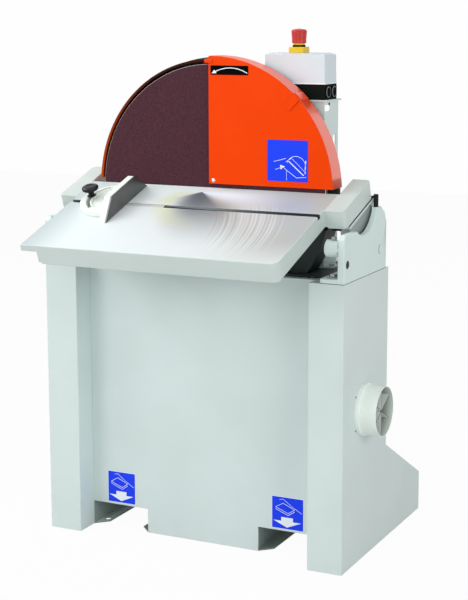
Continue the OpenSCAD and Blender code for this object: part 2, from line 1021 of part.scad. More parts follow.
// Cowl over the fan, with rings of air holes in its rear wall
module fan_cowl() {
  y_cowl = y_rear_shield - cowl_lap;
  cowl_r = housing_r + fin_h;
  color("darkslategray")
    difference() {
      turned(y_cowl, cowl_l + cowl_lap, cowl_r);
      turned(y_cowl - over, cowl_lap + rear_shield_t / 2 + over, housing_r);
      turned(y_cowl + cowl_lap, cowl_l - cowl_wall, cowl_r - cowl_wall);
      for (ring = [1 : cowl_rings])
        let (r = ring * fan_r / (cowl_rings + 1))
          disc_places(ring * blade_n, r, 0)
            rod_y(0, y_cowl + cowl_lap + cowl_l - cowl_wall - over, 0, cowl_wall + 2 * over, cowl_hole_r);
    }
}

module terminal_box() {
  z_term = z_disc + housing_r + fin_h;
  color("darkslategray")
    difference() {
      union() {
        block(
          [-term_w / 2, y_core - term_l / 2, z_term],
          [term_w / 2, y_core + term_l / 2, z_term + term_h]
        );
        rod_x(term_w / 2, y_core, z_term + term_h / 2, term_gland_l, term_gland_r);
      }
      block(
        [-term_w / 2 + wall_t, y_core - term_l / 2 + wall_t, z_term + wall_t],
        [term_w / 2 - wall_t, y_core + term_l / 2 - wall_t, z_term + term_h - wall_t]
      );
    }
}

// Foot bolts of the two gussets
module gusset_bolt_places() {
  for (side = [-1, 1])
    translate([side * (gusset_x + gusset_foot_w / 2), y_motor + gusset_l / 2 + gusset_t, leg_h]) children();
}

module motor_plate() {
  color("dimgray")
    difference() {
      union() {
        turned(y_plate, motor_plate_t, plate_r);
        for (side = [0, 1])
          mirror([side, 0, 0]) {
            along_x(gusset_x - gusset_t, gusset_t)
              polygon([
                [y_motor, leg_h], [y_motor + gusset_l, leg_h], [y_motor + gusset_l, leg_h + gusset_t],
                [y_motor, leg_h + gusset_h]
              ]);
            block(
              [gusset_x, y_motor, leg_h],
              [gusset_x + gusset_foot_w, y_motor + gusset_l, leg_h + gusset_t]
            );
          }
      }
      turned(y_plate - over, motor_plate_t + 2 * over, plate_bore_r);
      disc_places(motor_bolt_n, motor_bolt_pcd, motor_bolt_turn)
        rod_y(0, y_plate - over, 0, motor_plate_t + 2 * over, motor_bolt_r + fit);
      gusset_bolt_places() rod_z(0, 0, -over, gusset_t + 2 * over, foot_bolt_r + fit);
    }
}

// Bolt through a foot of thickness t on the top plate
module foot_bolt(t) {
  rod_z(0, 0, t - foot_bolt_l, foot_bolt_l, foot_bolt_r);
  rod_z(0, 0, t, foot_head_h, foot_head_r);
}

// Bolts of the motor's flange, of the gussets and of the post
module plate_bolts() {
  color("dimgray") {
    disc_places(motor_bolt_n, motor_bolt_pcd, motor_bolt_turn) {
      rod_y(0, y_plate - motor_bolt_head_h, 0, motor_bolt_head_h, motor_bolt_head_r);
      rod_y(0, y_plate, 0, motor_plate_t + front_shield_t, motor_bolt_r);
      rod_y(0, y_motor + front_shield_t, 0, motor_bolt_head_h, motor_bolt_head_r);
    }
    gusset_bolt_places() foot_bolt(gusset_t);
    post_bolt_places() foot_bolt(post_foot_t);
  }
}

module rim_guard() {
  color("orangered")
    difference() {
      turned(y_face, guard_d, rim_r);
      turned(y_face - over, guard_d + 2 * over, rim_in);
      turned(y_face + guard_t, guard_d, rim_r - guard_t);
      block([-base_w, y_face - over, 0], [base_w, y_plate + over, z_guard]);
    }
}

module guard_cover() {
  y_cover = y_face - cover_gap - guard_t;
  color("orangered")
    difference() {
      turned(y_cover, y_motor - y_cover, cover_r);
      turned(y_cover + guard_t, y_motor - y_cover, band_in);
      block([-base_w, y_cover - over, 0], [base_w, y_motor + over, z_guard]);
      block([-base_w, y_cover - over, 0], [-cover_past, y_motor + over, z_disc + base_w]);
      rod_y(rivet_x, y_cover - over, z_guard + rivet_z, guard_t + 2 * over, rivet_shank_r + fit);
    }
}

module cover_clips() {
  y_cover = y_face - cover_gap - guard_t;
  x_clip = -cover_past - clip_w / 2;
  z_clip = z_disc + rim_r - clip_h;
  color("orangered") {
    block([x_clip, y_cover - clip_t, z_clip], [x_clip + clip_w, y_cover, z_clip + clip_h]);
    block([x_clip, y_cover, z_clip], [-cover_past - fit, y_face, z_clip + clip_h]);
    translate([0, 0, z_disc]) rotate([0, -strap_angle, 0])
      block([cover_r, y_plate - strap_l, -clip_w / 2], [cover_r + strap_t, y_plate, clip_w / 2]);
  }
}

module cover_rivet() {
  y_cover = y_face - cover_gap - guard_t;
  color("silver") {
    rod_y(rivet_x, y_cover - rivet_h, z_guard + rivet_z, rivet_h, rivet_r);
    rod_y(rivet_x, y_cover, z_guard + rivet_z, guard_t, rivet_shank_r);
  }
}

// Middle of the duct, and of its neck under the hood
duct_x = leg_in - duct_side - duct_w / 2;
neck_x = duct_x - duct_w / 2 + neck_side + neck_w / 2;
neck_y = y_face + guard_d / 2 - hood_gap / 2;
// Top of the duct, under the neck
z_duct = spigot_z - duct_d / 2 + duct_h;

module disc_hood() {
  y_hood = y_face - hood_gap - hood_t;
  color("darkslategray")
    difference() {
      turned(y_hood, y_motor - y_hood, hood_r);
      turned(y_hood + hood_t, y_motor - y_hood, band_in);
      block([-base_w, y_hood - over, z_hood], [base_w, y_motor + over, z_disc + base_w]);
      neck_inside(spigot_z, leg_h);
    }
}

// Box behind the right leg that leads the dust to the spigot
module dust_duct() {
  z_low = z_duct - duct_h;
  color("darkslategray")
    difference() {
      block(
        [duct_x - duct_w / 2, y_dust - duct_d / 2, z_low],
        [duct_x + duct_w / 2, y_dust + duct_d / 2, z_duct]
      );
      block(
        [duct_x - duct_w / 2 + hood_t, y_dust - duct_d / 2 + hood_t, z_low + hood_t],
        [duct_x + duct_w / 2 - hood_t, y_dust + duct_d / 2 - hood_t, z_duct - hood_t]
      );
      neck_inside(z_duct - hood_t - over, z_duct + over);
      rod_x(duct_x, y_dust, spigot_z, duct_w, spigot_r + fit);
    }
}

// Open inside of the neck between two heights
module neck_inside(low, high) {
  block(
    [neck_x - neck_w / 2 + hood_t, neck_y - neck_d / 2 + hood_t, low],
    [neck_x + neck_w / 2 - hood_t, neck_y + neck_d / 2 - hood_t, high]
  );
}

// Square tube from the duct's top up to the hood's round
module dust_neck() {
  z_neck = leg_h - sheet_t;
  color("darkslategray")
    difference() {
      block(
        [neck_x - neck_w / 2, neck_y - neck_d / 2, z_duct],
        [neck_x + neck_w / 2, neck_y + neck_d / 2, z_neck]
      );
      neck_inside(z_duct - over, z_neck + over);
      turned(y_face - duct_d, 2 * duct_d, hood_r + fit);
    }
}

module dust_spigot() {
  x_in = duct_x + duct_w / 2 - hood_t;
  x_out = base_w / 2 + spigot_l;
  color("gainsboro")
    difference() {
      union() {
        rod_x(x_in, y_dust, spigot_z, x_out - x_in, spigot_r);
        rod_x(base_w / 2, y_dust, spigot_z, spigot_flange_t, spigot_flange_r);
      }
      rod_x(x_in - over, y_dust, spigot_z, x_out - x_in + 2 * over, spigot_r - spigot_t);
    }
}

// Crossed plates that keep hands out of the spigot
module dust_spokes() {
  spoke_half = spigot_r - spigot_t - fit;
  spoke_l = spigot_l - spoke_in - spoke_back;
  color("gainsboro")
    for (i = [0 : spoke_n - 1])
      translate([base_w / 2 + spoke_in, y_dust, spigot_z]) rotate([90 + i * 180 / spoke_n, 0, 0])
        translate([0, -spoke_half, -spoke_t / 2]) cube([spoke_l, 2 * spoke_half, spoke_t]);
}

// Switch places
y_post = y_face + post_set;
z_box = shelf_z + shelf_t;
z_seam = z_box + box_base_h;
z_lid = z_seam + box_cover_h;
x_box = post_x - box_w;

module post_bolt_places() {
  for (share = post_bolt_shares)
    translate([post_x + post_foot / 2, y_post + share * post_d, leg_h]) children();
}

// Folded post with the shelf welded on its top
module switch_post() {
  y_notch = y_post + notch_l - notch_r;
  color("gainsboro")
    difference() {
      union() {
        block([post_x - post_w, y_post, leg_h], [post_x, y_post + post_d, shelf_z]);
        block(
          [post_x - post_w, y_post, leg_h],
          [post_x + post_foot, y_post + post_d, leg_h + post_foot_t]
        );
        block(
          [x_box - shelf_side, y_post - shelf_side, shelf_z],
          [post_x + shelf_side, y_post + post_d + shelf_side, shelf_z + shelf_t]
        );
      }
      block(
        [post_x - post_w + post_t, y_post + post_t, leg_h + post_foot_t],
        [post_x - post_t, y_post + post_d + over, shelf_z]
      );
      rod_x(post_x - post_t - over, y_notch, shelf_z - notch_low - notch_r, post_t + 2 * over, notch_r);
      block(
        [post_x - post_t - over, y_post + post_t, shelf_z - notch_low - 2 * notch_r],
        [post_x + over, y_notch, shelf_z - notch_low]
      );
      block(
        [post_x - post_t - over, y_post + post_d - slit_back - slit_w, shelf_z - slit_z],
        [post_x + over, y_post + post_d - slit_back, shelf_z - slit_z + slit_h]
      );
      post_bolt_places() rod_z(0, 0, -over, post_foot_t + 2 * over, foot_bolt_r + fit);
    }
}

module box_base() {
  color("black")
    difference() {
      block([x_box, y_post, z_box], [post_x, y_post + box_d, z_seam]);
      block(
        [x_box + wall_t, y_post + wall_t, z_box + wall_t],
        [post_x - wall_t, y_post + box_d - wall_t, z_seam + over]
      );
      gland_places() rod_x(-wall_t - over, 0, 0, wall_t + 2 * over, gland_r - gland_rim / 2 + fit);
    }
}

module gland_places() {
  for (side = [-1, 1])
    translate([post_x, y_post + box_d / 2 + side * gland_pitch / 2, z_box + box_base_h / 2]) children();
}

module cable_glands() {
  color("dimgray")
    gland_places()
      difference() {
        union() {
          rod_x(0, 0, 0, gland_l, gland_r);
          rod_x(-wall_t, 0, 0, wall_t, gland_r - gland_rim / 2);
        }
        rod_x(gland_back - wall_t, 0, 0, wall_t + gland_l, gland_r - gland_rim);
      }
}

module box_cover() {
  color("whitesmoke")
    difference() {
      block([x_box, y_post, z_seam], [post_x, y_post + box_d, z_lid]);
      block(
        [x_box + wall_t, y_post + wall_t, z_seam - over],
        [post_x - wall_t, y_post + box_d - wall_t, z_lid - wall_t]
      );
      stop_axis() rod_z(0, 0, z_lid - wall_t - over, wall_t + 2 * over, stop_stem_r + gap);
    }
}

module stop_axis() {
  translate([x_box + stop_x, y_post + box_d / 2, 0]) children();
}

module stop_base() {
  color("gold")
    stop_axis()
      difference() {
        translate([-stop_base_w / 2, -stop_base_w / 2, z_lid]) cube([stop_base_w, stop_base_w, stop_base_h]);
        rod_z(0, 0, z_lid - over, stop_base_h + 2 * over, stop_stem_r + gap);
      }
}

module stop_ring() {
  color("black")
    stop_axis()
      difference() {
        rod_z(0, 0, z_lid + stop_base_h, stop_ring_h, stop_ring_r);
        rod_z(0, 0, z_lid + stop_base_h - over, stop_ring_h + 2 * over, stop_neck_r + gap);
      }
}

// Underside of the stop's head
z_stop = z_lid + stop_base_h + stop_ring_h + stop_travel + stop_room;

// Collar on the stem that sinks into the ring when the head is pushed
module stop_neck() {
  z_neck = z_lid + stop_base_h + stop_ring_h;
  h = z_stop - z_neck;
  color("gold")
    stop_axis()
      difference() {
        rod_z(0, 0, z_neck, h, stop_neck_r);
        rod_z(0, 0, z_neck - over, h + 2 * over, stop_stem_r);
      }
}

module stop_plunger() {
  z_top = z_stop + stop_socket;
  color("dimgray") stop_axis() rod_z(0, 0, z_lid - stop_stem_in, z_top - z_lid + stop_stem_in, stop_stem_r);
}

// Flared head with a low crown, turned from one outline
module stop_head() {
  r = stop_d / 2;
  color("red")
    stop_axis() translate([0, 0, z_stop])
      rotate_extrude()
        polygon([
          [0, stop_socket], [stop_stem_r, stop_socket], [stop_stem_r, 0],
          [r - stop_flare, 0], [r - stop_flare, stop_head_rim], [r, stop_head_all - 2 * stop_edge],
          [r, stop_head_all - stop_crown - stop_edge], [r - stop_edge, stop_head_all - stop_crown],
          [0, stop_head_all]
        ]);
}

module contact_block() {
  z_contact = z_lid - stop_stem_in - stop_travel - gap;
  color("dimgray")
    stop_axis() translate([-contact_w / 2, -contact_d / 2, z_box + wall_t])
      cube([contact_w, contact_d, z_contact - z_box - wall_t]);
}

// Mitre gauge places in the table's own frame
pivot_x = -fence_x - pivot_back;
bar_top = -bar_sink;

module mitre_bar() {
  color("lightgray")
    on_table()
      difference() {
        block(
          [-bar_end - bar_l, -slot_back - slot_w / 2 + bar_play, -slot_d + bar_play],
          [-bar_end, -slot_back + slot_w / 2 - bar_play, bar_top]
        );
        rod_z(pivot_x, -slot_back, -slot_d, slot_d, pivot_r);
        rod_z(pivot_x - knob_r, -slot_back, -slot_d, slot_d, stud_r + run);
      }
}

module mitre_pin() {
  z_pin = -slot_d + bar_play;
  color("gray") on_table() rod_z(pivot_x, -slot_back, z_pin, head_lift + pivot_h - z_pin, pivot_r);
}

// Pie slice about the swing pivot that bounds the clamp slot
module slot_slice(r) {
  a = swing + arc_margin;
  polygon([
    [0, 0], [-r * cos(a), -r * sin(a)], [-r / cos(a / 2), -r * tan(a / 2)],
    [-r / cos(a / 2), r * tan(a / 2)], [-r * cos(a), r * sin(a)]
  ]);
}

// Curved band about the swing pivot, between two radii
module arc_band(inner, outer) {
  intersection() {
    difference() {
      circle(r = outer);
      circle(r = inner);
    }
    slot_slice(2 * outer);
  }
}

module mitre_head() {
  half = fence_l / 2;
  back = fence_t + fence_back_t;
  slot_half = stud_r + slot_play;
  color("ivory")
    on_table() translate([pivot_x, -slot_back, head_lift])
      difference() {
        union() {
          linear_extrude(head_t)
            difference() {
              union() {
                translate([-head_back, 0]) circle(r = head_r);
                translate([-head_back, -head_r]) square([head_back + pivot_back - fence_t, 2 * head_r]);
              }
              translate([pivot_back - fence_t, -half]) square([half, fence_l]);
            }
          linear_extrude(head_t + arc_rib_h)
            arc_band(knob_r - slot_half - arc_rib_w, knob_r + slot_half + arc_rib_w);
          along_x(pivot_back - back, fence_back_t) fence_outline();
        }
        translate([0, 0, -over]) linear_extrude(head_t + arc_rib_h + 2 * over)
          arc_band(knob_r - slot_half, knob_r + slot_half);
        rod_z(0, 0, -over, pivot_h + gap + over, pivot_r + run);
        fence_screw_places() rod_x(-fence_screw_in, 0, 0, fence_screw_in + over, fence_screw_r + fit);
      }
}

// Fence outline (y, z) with both ends cut back at 45 degrees
module fence_outline() {
  half = fence_l / 2;
  polygon([[-half, 0], [half, 0], [half - fence_h, fence_h], [fence_h - half, fence_h]]);
}

module fence_screw_places() {
  for (side = [-1, 1])
    translate([pivot_back - fence_t, side * fence_screw_pitch / 2, fence_screw_h]) children();
}

module mitre_fence() {
  color("dimgray")
    on_table() translate([pivot_x, -slot_back, head_lift])
      difference() {
        along_x(pivot_back - fence_t, fence_t) fence_outline();
        fence_screw_places() rod_x(-over, 0, 0, fence_t - fence_skin + over, fence_screw_r + fit);
      }
}

module fence_screws() {
  color("gray")
    on_table() translate([pivot_x, -slot_back, head_lift])
      fence_screw_places()
        rod_x(-fence_screw_in, 0, 0, fence_screw_in + fence_t - fence_skin, fence_screw_r);
}

// Knob with its washer and the stud that screws into the bar
module mitre_knob() {
  z_seat = head_lift + head_t + arc_rib_h + knob_lift;
  color("black")
    on_table() translate([pivot_x - knob_r, -slot_back, 0]) {
      rod_z(0, 0, -slot_d + bar_play, slot_d - bar_play + z_seat, stud_r);
      rod_z(0, 0, z_seat, washer_t, washer_r);
      rod_z(0, 0, z_seat, knob_stem_h, knob_stem_r);
      translate([0, 0, z_seat + knob_stem_h])
        rotate_extrude()
          polygon([
            [0, 0], [knob_stem_r, 0], [knob_d / 2 - knob_edge / 2, knob_edge],
            [knob_d / 2, knob_edge + knob_edge / 2], [knob_d / 2, knob_h - knob_edge],
            [knob_d / 2 - knob_edge / 2, knob_h - knob_edge / 2],
            [knob_top_r, knob_h], [0, knob_h]
          ]);
    }
}

side_frame_left();
side_frame_right();
front_panel();
pocket_walls();
floor_pan();
rear_panel();
top_plate();
bracket_left();
bracket_right();
bracket_bolts();
stop_screws();
lock_pads();
lock_knob_left();
lock_knob_right();
table();
trunnion_left();
trunnion_right();
trunnion_screws();
ear_pads();
abrasive_sheet();
disc_plate();
disc_hub();
hub_screws();
motor_shaft();
rotor();
motor_fan();
bearings();
front_shield();
motor_housing();
stator();
rear_shield();
fan_cowl();
terminal_box();
motor_plate();
plate_bolts();
rim_guard();
guard_cover();
cover_clips();
cover_rivet();
disc_hood();
dust_neck();
dust_duct();
dust_spigot();
dust_spokes();
switch_post();
box_base();
cable_glands();
box_cover();
stop_base();
stop_ring();
stop_neck();
stop_plunger();
stop_head();
contact_block();
mitre_bar();
mitre_pin();
mitre_head();
mitre_fence();
fence_screws();
mitre_knob();
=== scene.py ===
# %% [markdown]
# # A floor-standing disc sander
# This lesson dresses the solids of a workshop machine: a painted sheet cabinet, a tilting cast table, a
# sanding disc under an orange guard, a mitre gauge and a switch box with an emergency stop. The solids
# are loaded first and keep their places. Everything here is in metres, in the same frame: X to the
# operator's right, Y to the rear, Z up.

# %% Load the solids
import json
import math

import bmesh
import bpy
from mathutils import Matrix, Vector


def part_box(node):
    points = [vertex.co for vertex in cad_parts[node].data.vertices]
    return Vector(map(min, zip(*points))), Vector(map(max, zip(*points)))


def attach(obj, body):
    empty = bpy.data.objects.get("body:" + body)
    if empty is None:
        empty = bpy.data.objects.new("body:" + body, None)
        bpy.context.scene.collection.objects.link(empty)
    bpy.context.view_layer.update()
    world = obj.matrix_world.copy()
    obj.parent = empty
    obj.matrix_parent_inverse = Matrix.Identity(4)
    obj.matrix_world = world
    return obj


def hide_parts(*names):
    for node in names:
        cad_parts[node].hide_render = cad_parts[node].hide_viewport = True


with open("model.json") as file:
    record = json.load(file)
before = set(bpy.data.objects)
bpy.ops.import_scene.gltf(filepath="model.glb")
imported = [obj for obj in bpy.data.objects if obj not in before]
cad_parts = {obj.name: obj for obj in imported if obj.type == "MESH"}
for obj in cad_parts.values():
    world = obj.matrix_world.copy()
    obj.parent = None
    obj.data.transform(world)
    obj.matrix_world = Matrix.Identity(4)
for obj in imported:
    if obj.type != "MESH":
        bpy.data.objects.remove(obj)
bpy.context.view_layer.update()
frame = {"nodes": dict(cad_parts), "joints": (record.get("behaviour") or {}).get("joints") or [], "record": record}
MM = 0.001
NEAR = 0.1 * MM


def short(point):
    """A point's coordinates to the millimetre, for printing."""
    return [round(value, 3) for value in point]


# %% [markdown]
# ## Places that the joints give
# The table is tilted in the photograph, so its own pieces are easier to draw flat and then turn. The
# mitre gauge swings about the table's upright, which gives the tilt; the tilt joint gives the axis.

# %% The table's own frame
joints = {joint["name"]: joint for joint in frame["joints"]}
table_up = Vector(joints["mitre_swing"]["axis"]).normalized()
tilt = math.atan2(-table_up.y, table_up.z)
tilt_axis = Vector(joints["table_tilt"]["pos_m"])
table_frame = Matrix.Translation(tilt_axis) @ Matrix.Rotation(tilt, 4, "X")
to_table = table_frame.inverted()
disc_axis = Vector(joints["disc_spin"]["pos_m"])
print("table tilted", round(math.degrees(tilt), 1), "degrees")

# %% [markdown]
# ## The camera
# The photograph was taken from the front right, a little above the table. A long lens keeps the upright
# edges of the cabinet nearly parallel. The camera is set by the point it looks at, its angles and its
# distance. The lens is given in pixels of the photograph, which is 468 wide and 600 high.

# %% Camera
PHOTO_HEIGHT, FOCAL_PIXELS, AXIS_ABOVE_MIDDLE = 600, 1503.9, 36
camera_aim = Vector((0.068, -0.168, 0.699))
camera_azimuth, camera_pitch, camera_roll = (math.radians(angle) for angle in (26.12, 9.51, -0.15))
camera_distance = 3.642

lens = bpy.data.cameras.new("camera")
lens.sensor_width = 36
lens.lens = FOCAL_PIXELS / PHOTO_HEIGHT * lens.sensor_width
lens.shift_y = -AXIS_ABOVE_MIDDLE / PHOTO_HEIGHT
camera = bpy.data.objects.new("camera", lens)
bpy.context.scene.collection.objects.link(camera)
place = Matrix.Translation(camera_aim)
for angle, axis in ((camera_azimuth, "Z"), (math.pi / 2 - camera_pitch, "X"), (camera_roll, "Z")):
    place = place @ Matrix.Rotation(angle, 4, axis)
camera.matrix_world = place @ Matrix.Translation((0, 0, camera_distance))
bpy.context.scene.camera = camera
print("camera at", short(camera.location), "lens", round(lens.lens, 1), "mm")

# %% [markdown]
# ## Helpers for materials
# Colours are easiest to write as they are read off a screen, but a shader takes linear light, so one
# helper turns them. Another adds a node, sets it and wires it in one line, which keeps each finish short
# enough to read. The others put numbers through a sum or a range, and start a material.

# %% Material helpers
def from_screen(red, green, blue):
    """A colour read off a screen, 0 to 255 a channel, as the linear colour that a shader takes."""
    shares = [value / 255 for value in (red, green, blue)]
    return (*[s / 12.92 if s <= 0.04045 else ((s + 0.055) / 1.055) ** 2.4 for s in shares], 1)


def wire(tree, node, sockets):
    """Gives each named socket of a node a value, or a link from another node."""
    for name, value in sockets.items():
        if isinstance(value, bpy.types.NodeSocket):
            tree.links.new(value, node.inputs[name])
        else:
            node.inputs[name].default_value = value


def add(tree, kind, sockets=None, **settings):
    """Adds a node with its settings, and wires its sockets."""
    node = tree.nodes.new("ShaderNode" + kind)
    for name, value in settings.items():
        setattr(node, name, value)
    wire(tree, node, sockets or {})
    return node


def worked_out(tree, operation, *values):
    """A number made from others by an operation such as ADD, DIVIDE or ARCTAN2."""
    return add(tree, "Math", dict(enumerate(values)), operation=operation).outputs["Value"]


def vector_math(tree, operation, *values):
    """The outputs of an operation on vectors: Vector, or Value where it gives a number."""
    return add(tree, "VectorMath", dict(enumerate(values)), operation=operation).outputs


def own_place(tree):
    """The shaded point in the object's own coordinates."""
    return add(tree, "TexCoord").outputs["Object"]


def ranged(tree, value, start=0, end=1, low=0, high=1, way="LINEAR"):
    """Goes from low to high while a number goes from start to end."""
    sockets = {"Value": value, "From Min": start, "From Max": end, "To Min": low, "To Max": high}
    return add(tree, "MapRange", sockets, interpolation_type=way).outputs["Result"]


def surface(name, constants):
    """A material whose shader has those plain values."""
    material = bpy.data.materials.new(name)
    material.use_nodes = True
    shader = material.node_tree.nodes["Principled BSDF"]
    wire(material.node_tree, shader, constants)
    return material, material.node_tree, shader


print("material helpers ready")

# %% [markdown]
# ## Background and floor
# A catalogue photograph of a pale machine needs a pale floor. The background is white to the camera and
# in reflections only, so it adds no light to the paint. The floor glows for the same rays, and the small
# share of plain grey that is left in it keeps the machine's shadow.

# %% Background and floor
bpy.context.scene.view_settings.view_transform = "Standard"
WORLD_LIGHT, BACKGROUND = 0.42, 0.99
FLOOR_SIZE, FLOOR_GLOW = 14, 0.96


def sees_background(tree):
    """A mask of the rays for which the background is plain white: camera, mirror and see-through rays."""
    rays = add(tree, "LightPath").outputs
    mask = rays["Is Camera Ray"]
    for other in ("Is Glossy Ray", "Is Transmission Ray"):
        mask = worked_out(tree, "MAXIMUM", mask, rays[other])
    return mask


def white_world():
    world = bpy.data.worlds.new("studio")
    world.use_nodes = True
    tree = world.node_tree
    light = tree.nodes["Background"]
    wire(tree, light, {"Color": (0.98, 1, 1, 1), "Strength": WORLD_LIGHT})
    white = add(tree, "Background", {"Color": (1, 1, 1, 1), "Strength": BACKGROUND})
    mix = add(tree, "MixShader", {"Fac": sees_background(tree), 1: light.outputs[0], 2: white.outputs[0]})
    wire(tree, tree.nodes["World Output"], {"Surface": mix.outputs[0]})
    bpy.context.scene.world = world


def as_object(name, shape):
    """Makes a mesh of a shape and puts it in the scene."""
    mesh = bpy.data.meshes.new(name)
    shape.to_mesh(mesh)
    shape.free()
    made = bpy.data.objects.new(name, mesh)
    bpy.context.scene.collection.objects.link(made)
    return made


def pale_floor():
    shape = bmesh.new()
    bmesh.ops.create_grid(shape, x_segments=1, y_segments=1, size=FLOOR_SIZE / 2)
    floor = as_object("floor", shape)
    constants = {"Base Color": (0.62, 0.63, 0.63, 1), "Roughness": 0.9, "Specular IOR Level": 0}
    material, tree, shader = surface("floor_white", constants)
    glow = add(tree, "Emission")
    share = worked_out(tree, "MULTIPLY", sees_background(tree), FLOOR_GLOW)
    mix = add(tree, "MixShader", {"Fac": share, 1: shader.outputs[0], 2: glow.outputs[0]})
    wire(tree, tree.nodes["Material Output"], {"Surface": mix.outputs[0]})
    floor.data.materials.append(material)


white_world()
pale_floor()
print("stage set: white background and a floor of", FLOOR_SIZE, "m")

# %% [markdown]
# ## Lamps
# Five round lamps give a soft light. More of it comes from the left than from the right, so the right
# sides fall into a light shade, and the guard throws a soft one on the table's right ear.

# %% Lamps
LIT_POINT = Vector((0, -0.1, 0.7))
for name, place, size, power in (
    ("lamp_above", (-0.4, -0.6, 3.6), 2.6, 16),
    ("lamp_high_left", (-2.6, -0.7, 2.9), 2.2, 56),
    ("lamp_front_left", (-2.2, -3.6, 2.2), 2.2, 48),
    ("lamp_front", (0.8, -4.2, 1.6), 2.0, 25),
    ("lamp_right", (3.6, -1.6, 1.7), 2.2, 48),
):
    light = bpy.data.lights.new(name, "AREA")
    light.shape = "DISK"
    light.size = size
    light.energy = power
    lamp = bpy.data.objects.new(name, light)
    bpy.context.scene.collection.objects.link(lamp)
    lamp.location = place
    lamp.rotation_euler = (LIT_POINT - Vector(place)).to_track_quat("-Z", "Y").to_euler()
    print(name, power, "W")

# %% [markdown]
# ## Paint and moulded plastic
# Powder coat is sprayed as dust and melted, which leaves a fine orange peel and slight clouds in tone. A
# painted casting has the same skin over coarser sand marks, and moulded plastic has a fine spark grain.
# All three are one node group with other values: a small noise for the relief, a large one for tone and
# gloss.

# %% Shared effect: a coat's skin
def effect(name, inputs):
    """A shader node group with those inputs, which puts out a colour, a roughness and a height."""
    tree = bpy.data.node_groups.new(name, "ShaderNodeTree")
    kinds = {"Color": "NodeSocketColor", "Stretch": "NodeSocketVector"}
    for socket, value in inputs.items():
        kind = kinds.get(socket, "NodeSocketFloat")
        tree.interface.new_socket(socket, in_out="INPUT", socket_type=kind).default_value = value
    for socket in ("Color", "Roughness", "Height"):
        kind = kinds.get(socket, "NodeSocketFloat")
        tree.interface.new_socket(socket, in_out="OUTPUT", socket_type=kind)
    return tree, tree.nodes.new("NodeGroupInput").outputs, tree.nodes.new("NodeGroupOutput")


def put_out(tree, given, out, tone, gloss, height):
    """Wires an effect's outputs: its colour in another tone, its roughness changed, and a height."""
    shade = add(tree, "HueSaturation", {"Color": given["Color"], "Value": tone})
    rough = worked_out(tree, "ADD", given["Roughness"], gloss)
    wire(tree, out, {"Color": shade.outputs["Color"], "Roughness": rough, "Height": height})


def coat_skin_effect():
    inputs = {"Color": (0.8, 0.8, 0.8, 1), "Roughness": 0.4, "Grain": 400, "Cloud": 5}
    tree, given, out = effect("coat_skin", inputs)
    place = own_place(tree)
    peel = add(tree, "TexNoise", {"Vector": place, "Scale": given["Grain"], "Detail": 2}).outputs["Fac"]
    cloud = add(tree, "TexNoise", {"Vector": place, "Scale": given["Cloud"], "Detail": 4}).outputs["Fac"]
    tone = ranged(tree, cloud, 0.3, 0.7, 0.96, 1.03)
    gloss = ranged(tree, cloud, 0.3, 0.7, -0.04, 0.05)
    put_out(tree, given, out, tone, gloss, peel)
    return tree


coat_skin = coat_skin_effect()
print("effect", coat_skin.name, "with", len(coat_skin.nodes), "nodes")

# %% [markdown]
# Each coat is that group in a material of its own, with its colour, its roughness and how strongly it
# mirrors. The relief is the depth of its marks.

# %% Coats
PEEL, SAND, SPARK = 380, 130, 1100
PEEL_RELIEF, SAND_RELIEF, SPARK_RELIEF = 0.00003, 0.00022, 0.00002
finishes = {}


def bumped(tree, height, depth):
    return add(tree, "Bump", {"Height": height, "Distance": depth, "Strength": 1}).outputs["Normal"]


def skinned(name, group, values, relief, constants):
    """A finish whose colour, gloss and relief come from a shared effect with its own values."""
    finishes[name], tree, shader = surface(name, constants)
    skin = add(tree, "Group", values, node_tree=group).outputs
    normal = bumped(tree, skin["Height"], relief)
    wire(tree, shader, {"Base Color": skin["Color"], "Roughness": skin["Roughness"], "Normal": normal})


for grain, relief, coats in (
    (PEEL, PEEL_RELIEF, (
        ("cabinet_paint", (211, 224, 222), 0.42, 0.4),
        ("inner_paint", (58, 66, 65), 0.55, 0.2),
        # Painted shade for the inside of the fork pockets.
        ("pocket_painted_shade", (146, 158, 154), 0.6, 0.1),
        ("spigot_paint", (243, 251, 245), 0.28, 0.5),
        # Painted shade inside the spigot, deepest furthest in.
        ("spigot_inside_painted_shade", (228, 236, 230), 0.5, 0.2),
        # Painted shade for the brackets' foot, hole and boss walls, and for the vanes' front edges.
        ("painted_shade_grey", (92, 102, 102), 0.6, 0.1),
        ("guard_orange", (241, 67, 2), 0.3, 0.06),
        ("guard_band", (240, 72, 12), 0.34, 0.5),
        # Painted shade for the guard's ring and for the sides of the strap's step.
        ("guard_painted_shade", (58, 22, 10), 0.5, 0.05),
        # A painted highlight for the rim of the abrasive sheet.
        ("sheet_edge_painted_highlight", (196, 186, 182), 0.5, 0.2),
        ("cowl_paint", (62, 68, 72), 0.45, 0.3),
    )),
    (SAND, SAND_RELIEF, (
        ("bracket_paint", (215, 231, 228), 0.48, 0.5),
        ("table_paint", (200, 212, 208), 0.44, 0.5),
        ("gauge_paint", (240, 247, 240), 0.45, 0.5),
        ("motor_paint", (84, 92, 97), 0.5, 0.5),
    )),
    (SPARK, SPARK_RELIEF, (
        ("knob_black", (15, 19, 25), 0.28, 0.22),
        ("pad_rubber", (22, 22, 22), 0.8, 0.1),
        ("box_black", (20, 25, 22), 0.5, 0.02),
        ("box_grey", (214, 224, 230), 0.42, 0.3),
        ("stop_red", (190, 40, 34), 0.3, 0.4),
        ("stop_yellow", (228, 192, 36), 0.35, 0.25),
        ("socket_grey", (126, 132, 134), 0.5, 0.3),
        ("print_blue", (38, 70, 244), 0.45, 0.03),
        ("print_white", (240, 244, 250), 0.45, 0.2),
        # Black for print, cups, screws and the stop's ring, and painted shade for the trunnions' gap.
        ("black_and_painted_shade", (9, 9, 10), 0.5, 0.01),
    )),
):
    for name, colour, roughness, shine in coats:
        values = {"Color": from_screen(*colour), "Roughness": roughness, "Grain": grain}
        skinned(name, coat_skin, values, relief, {"Specular IOR Level": shine})
print("coats:", ", ".join(finishes))
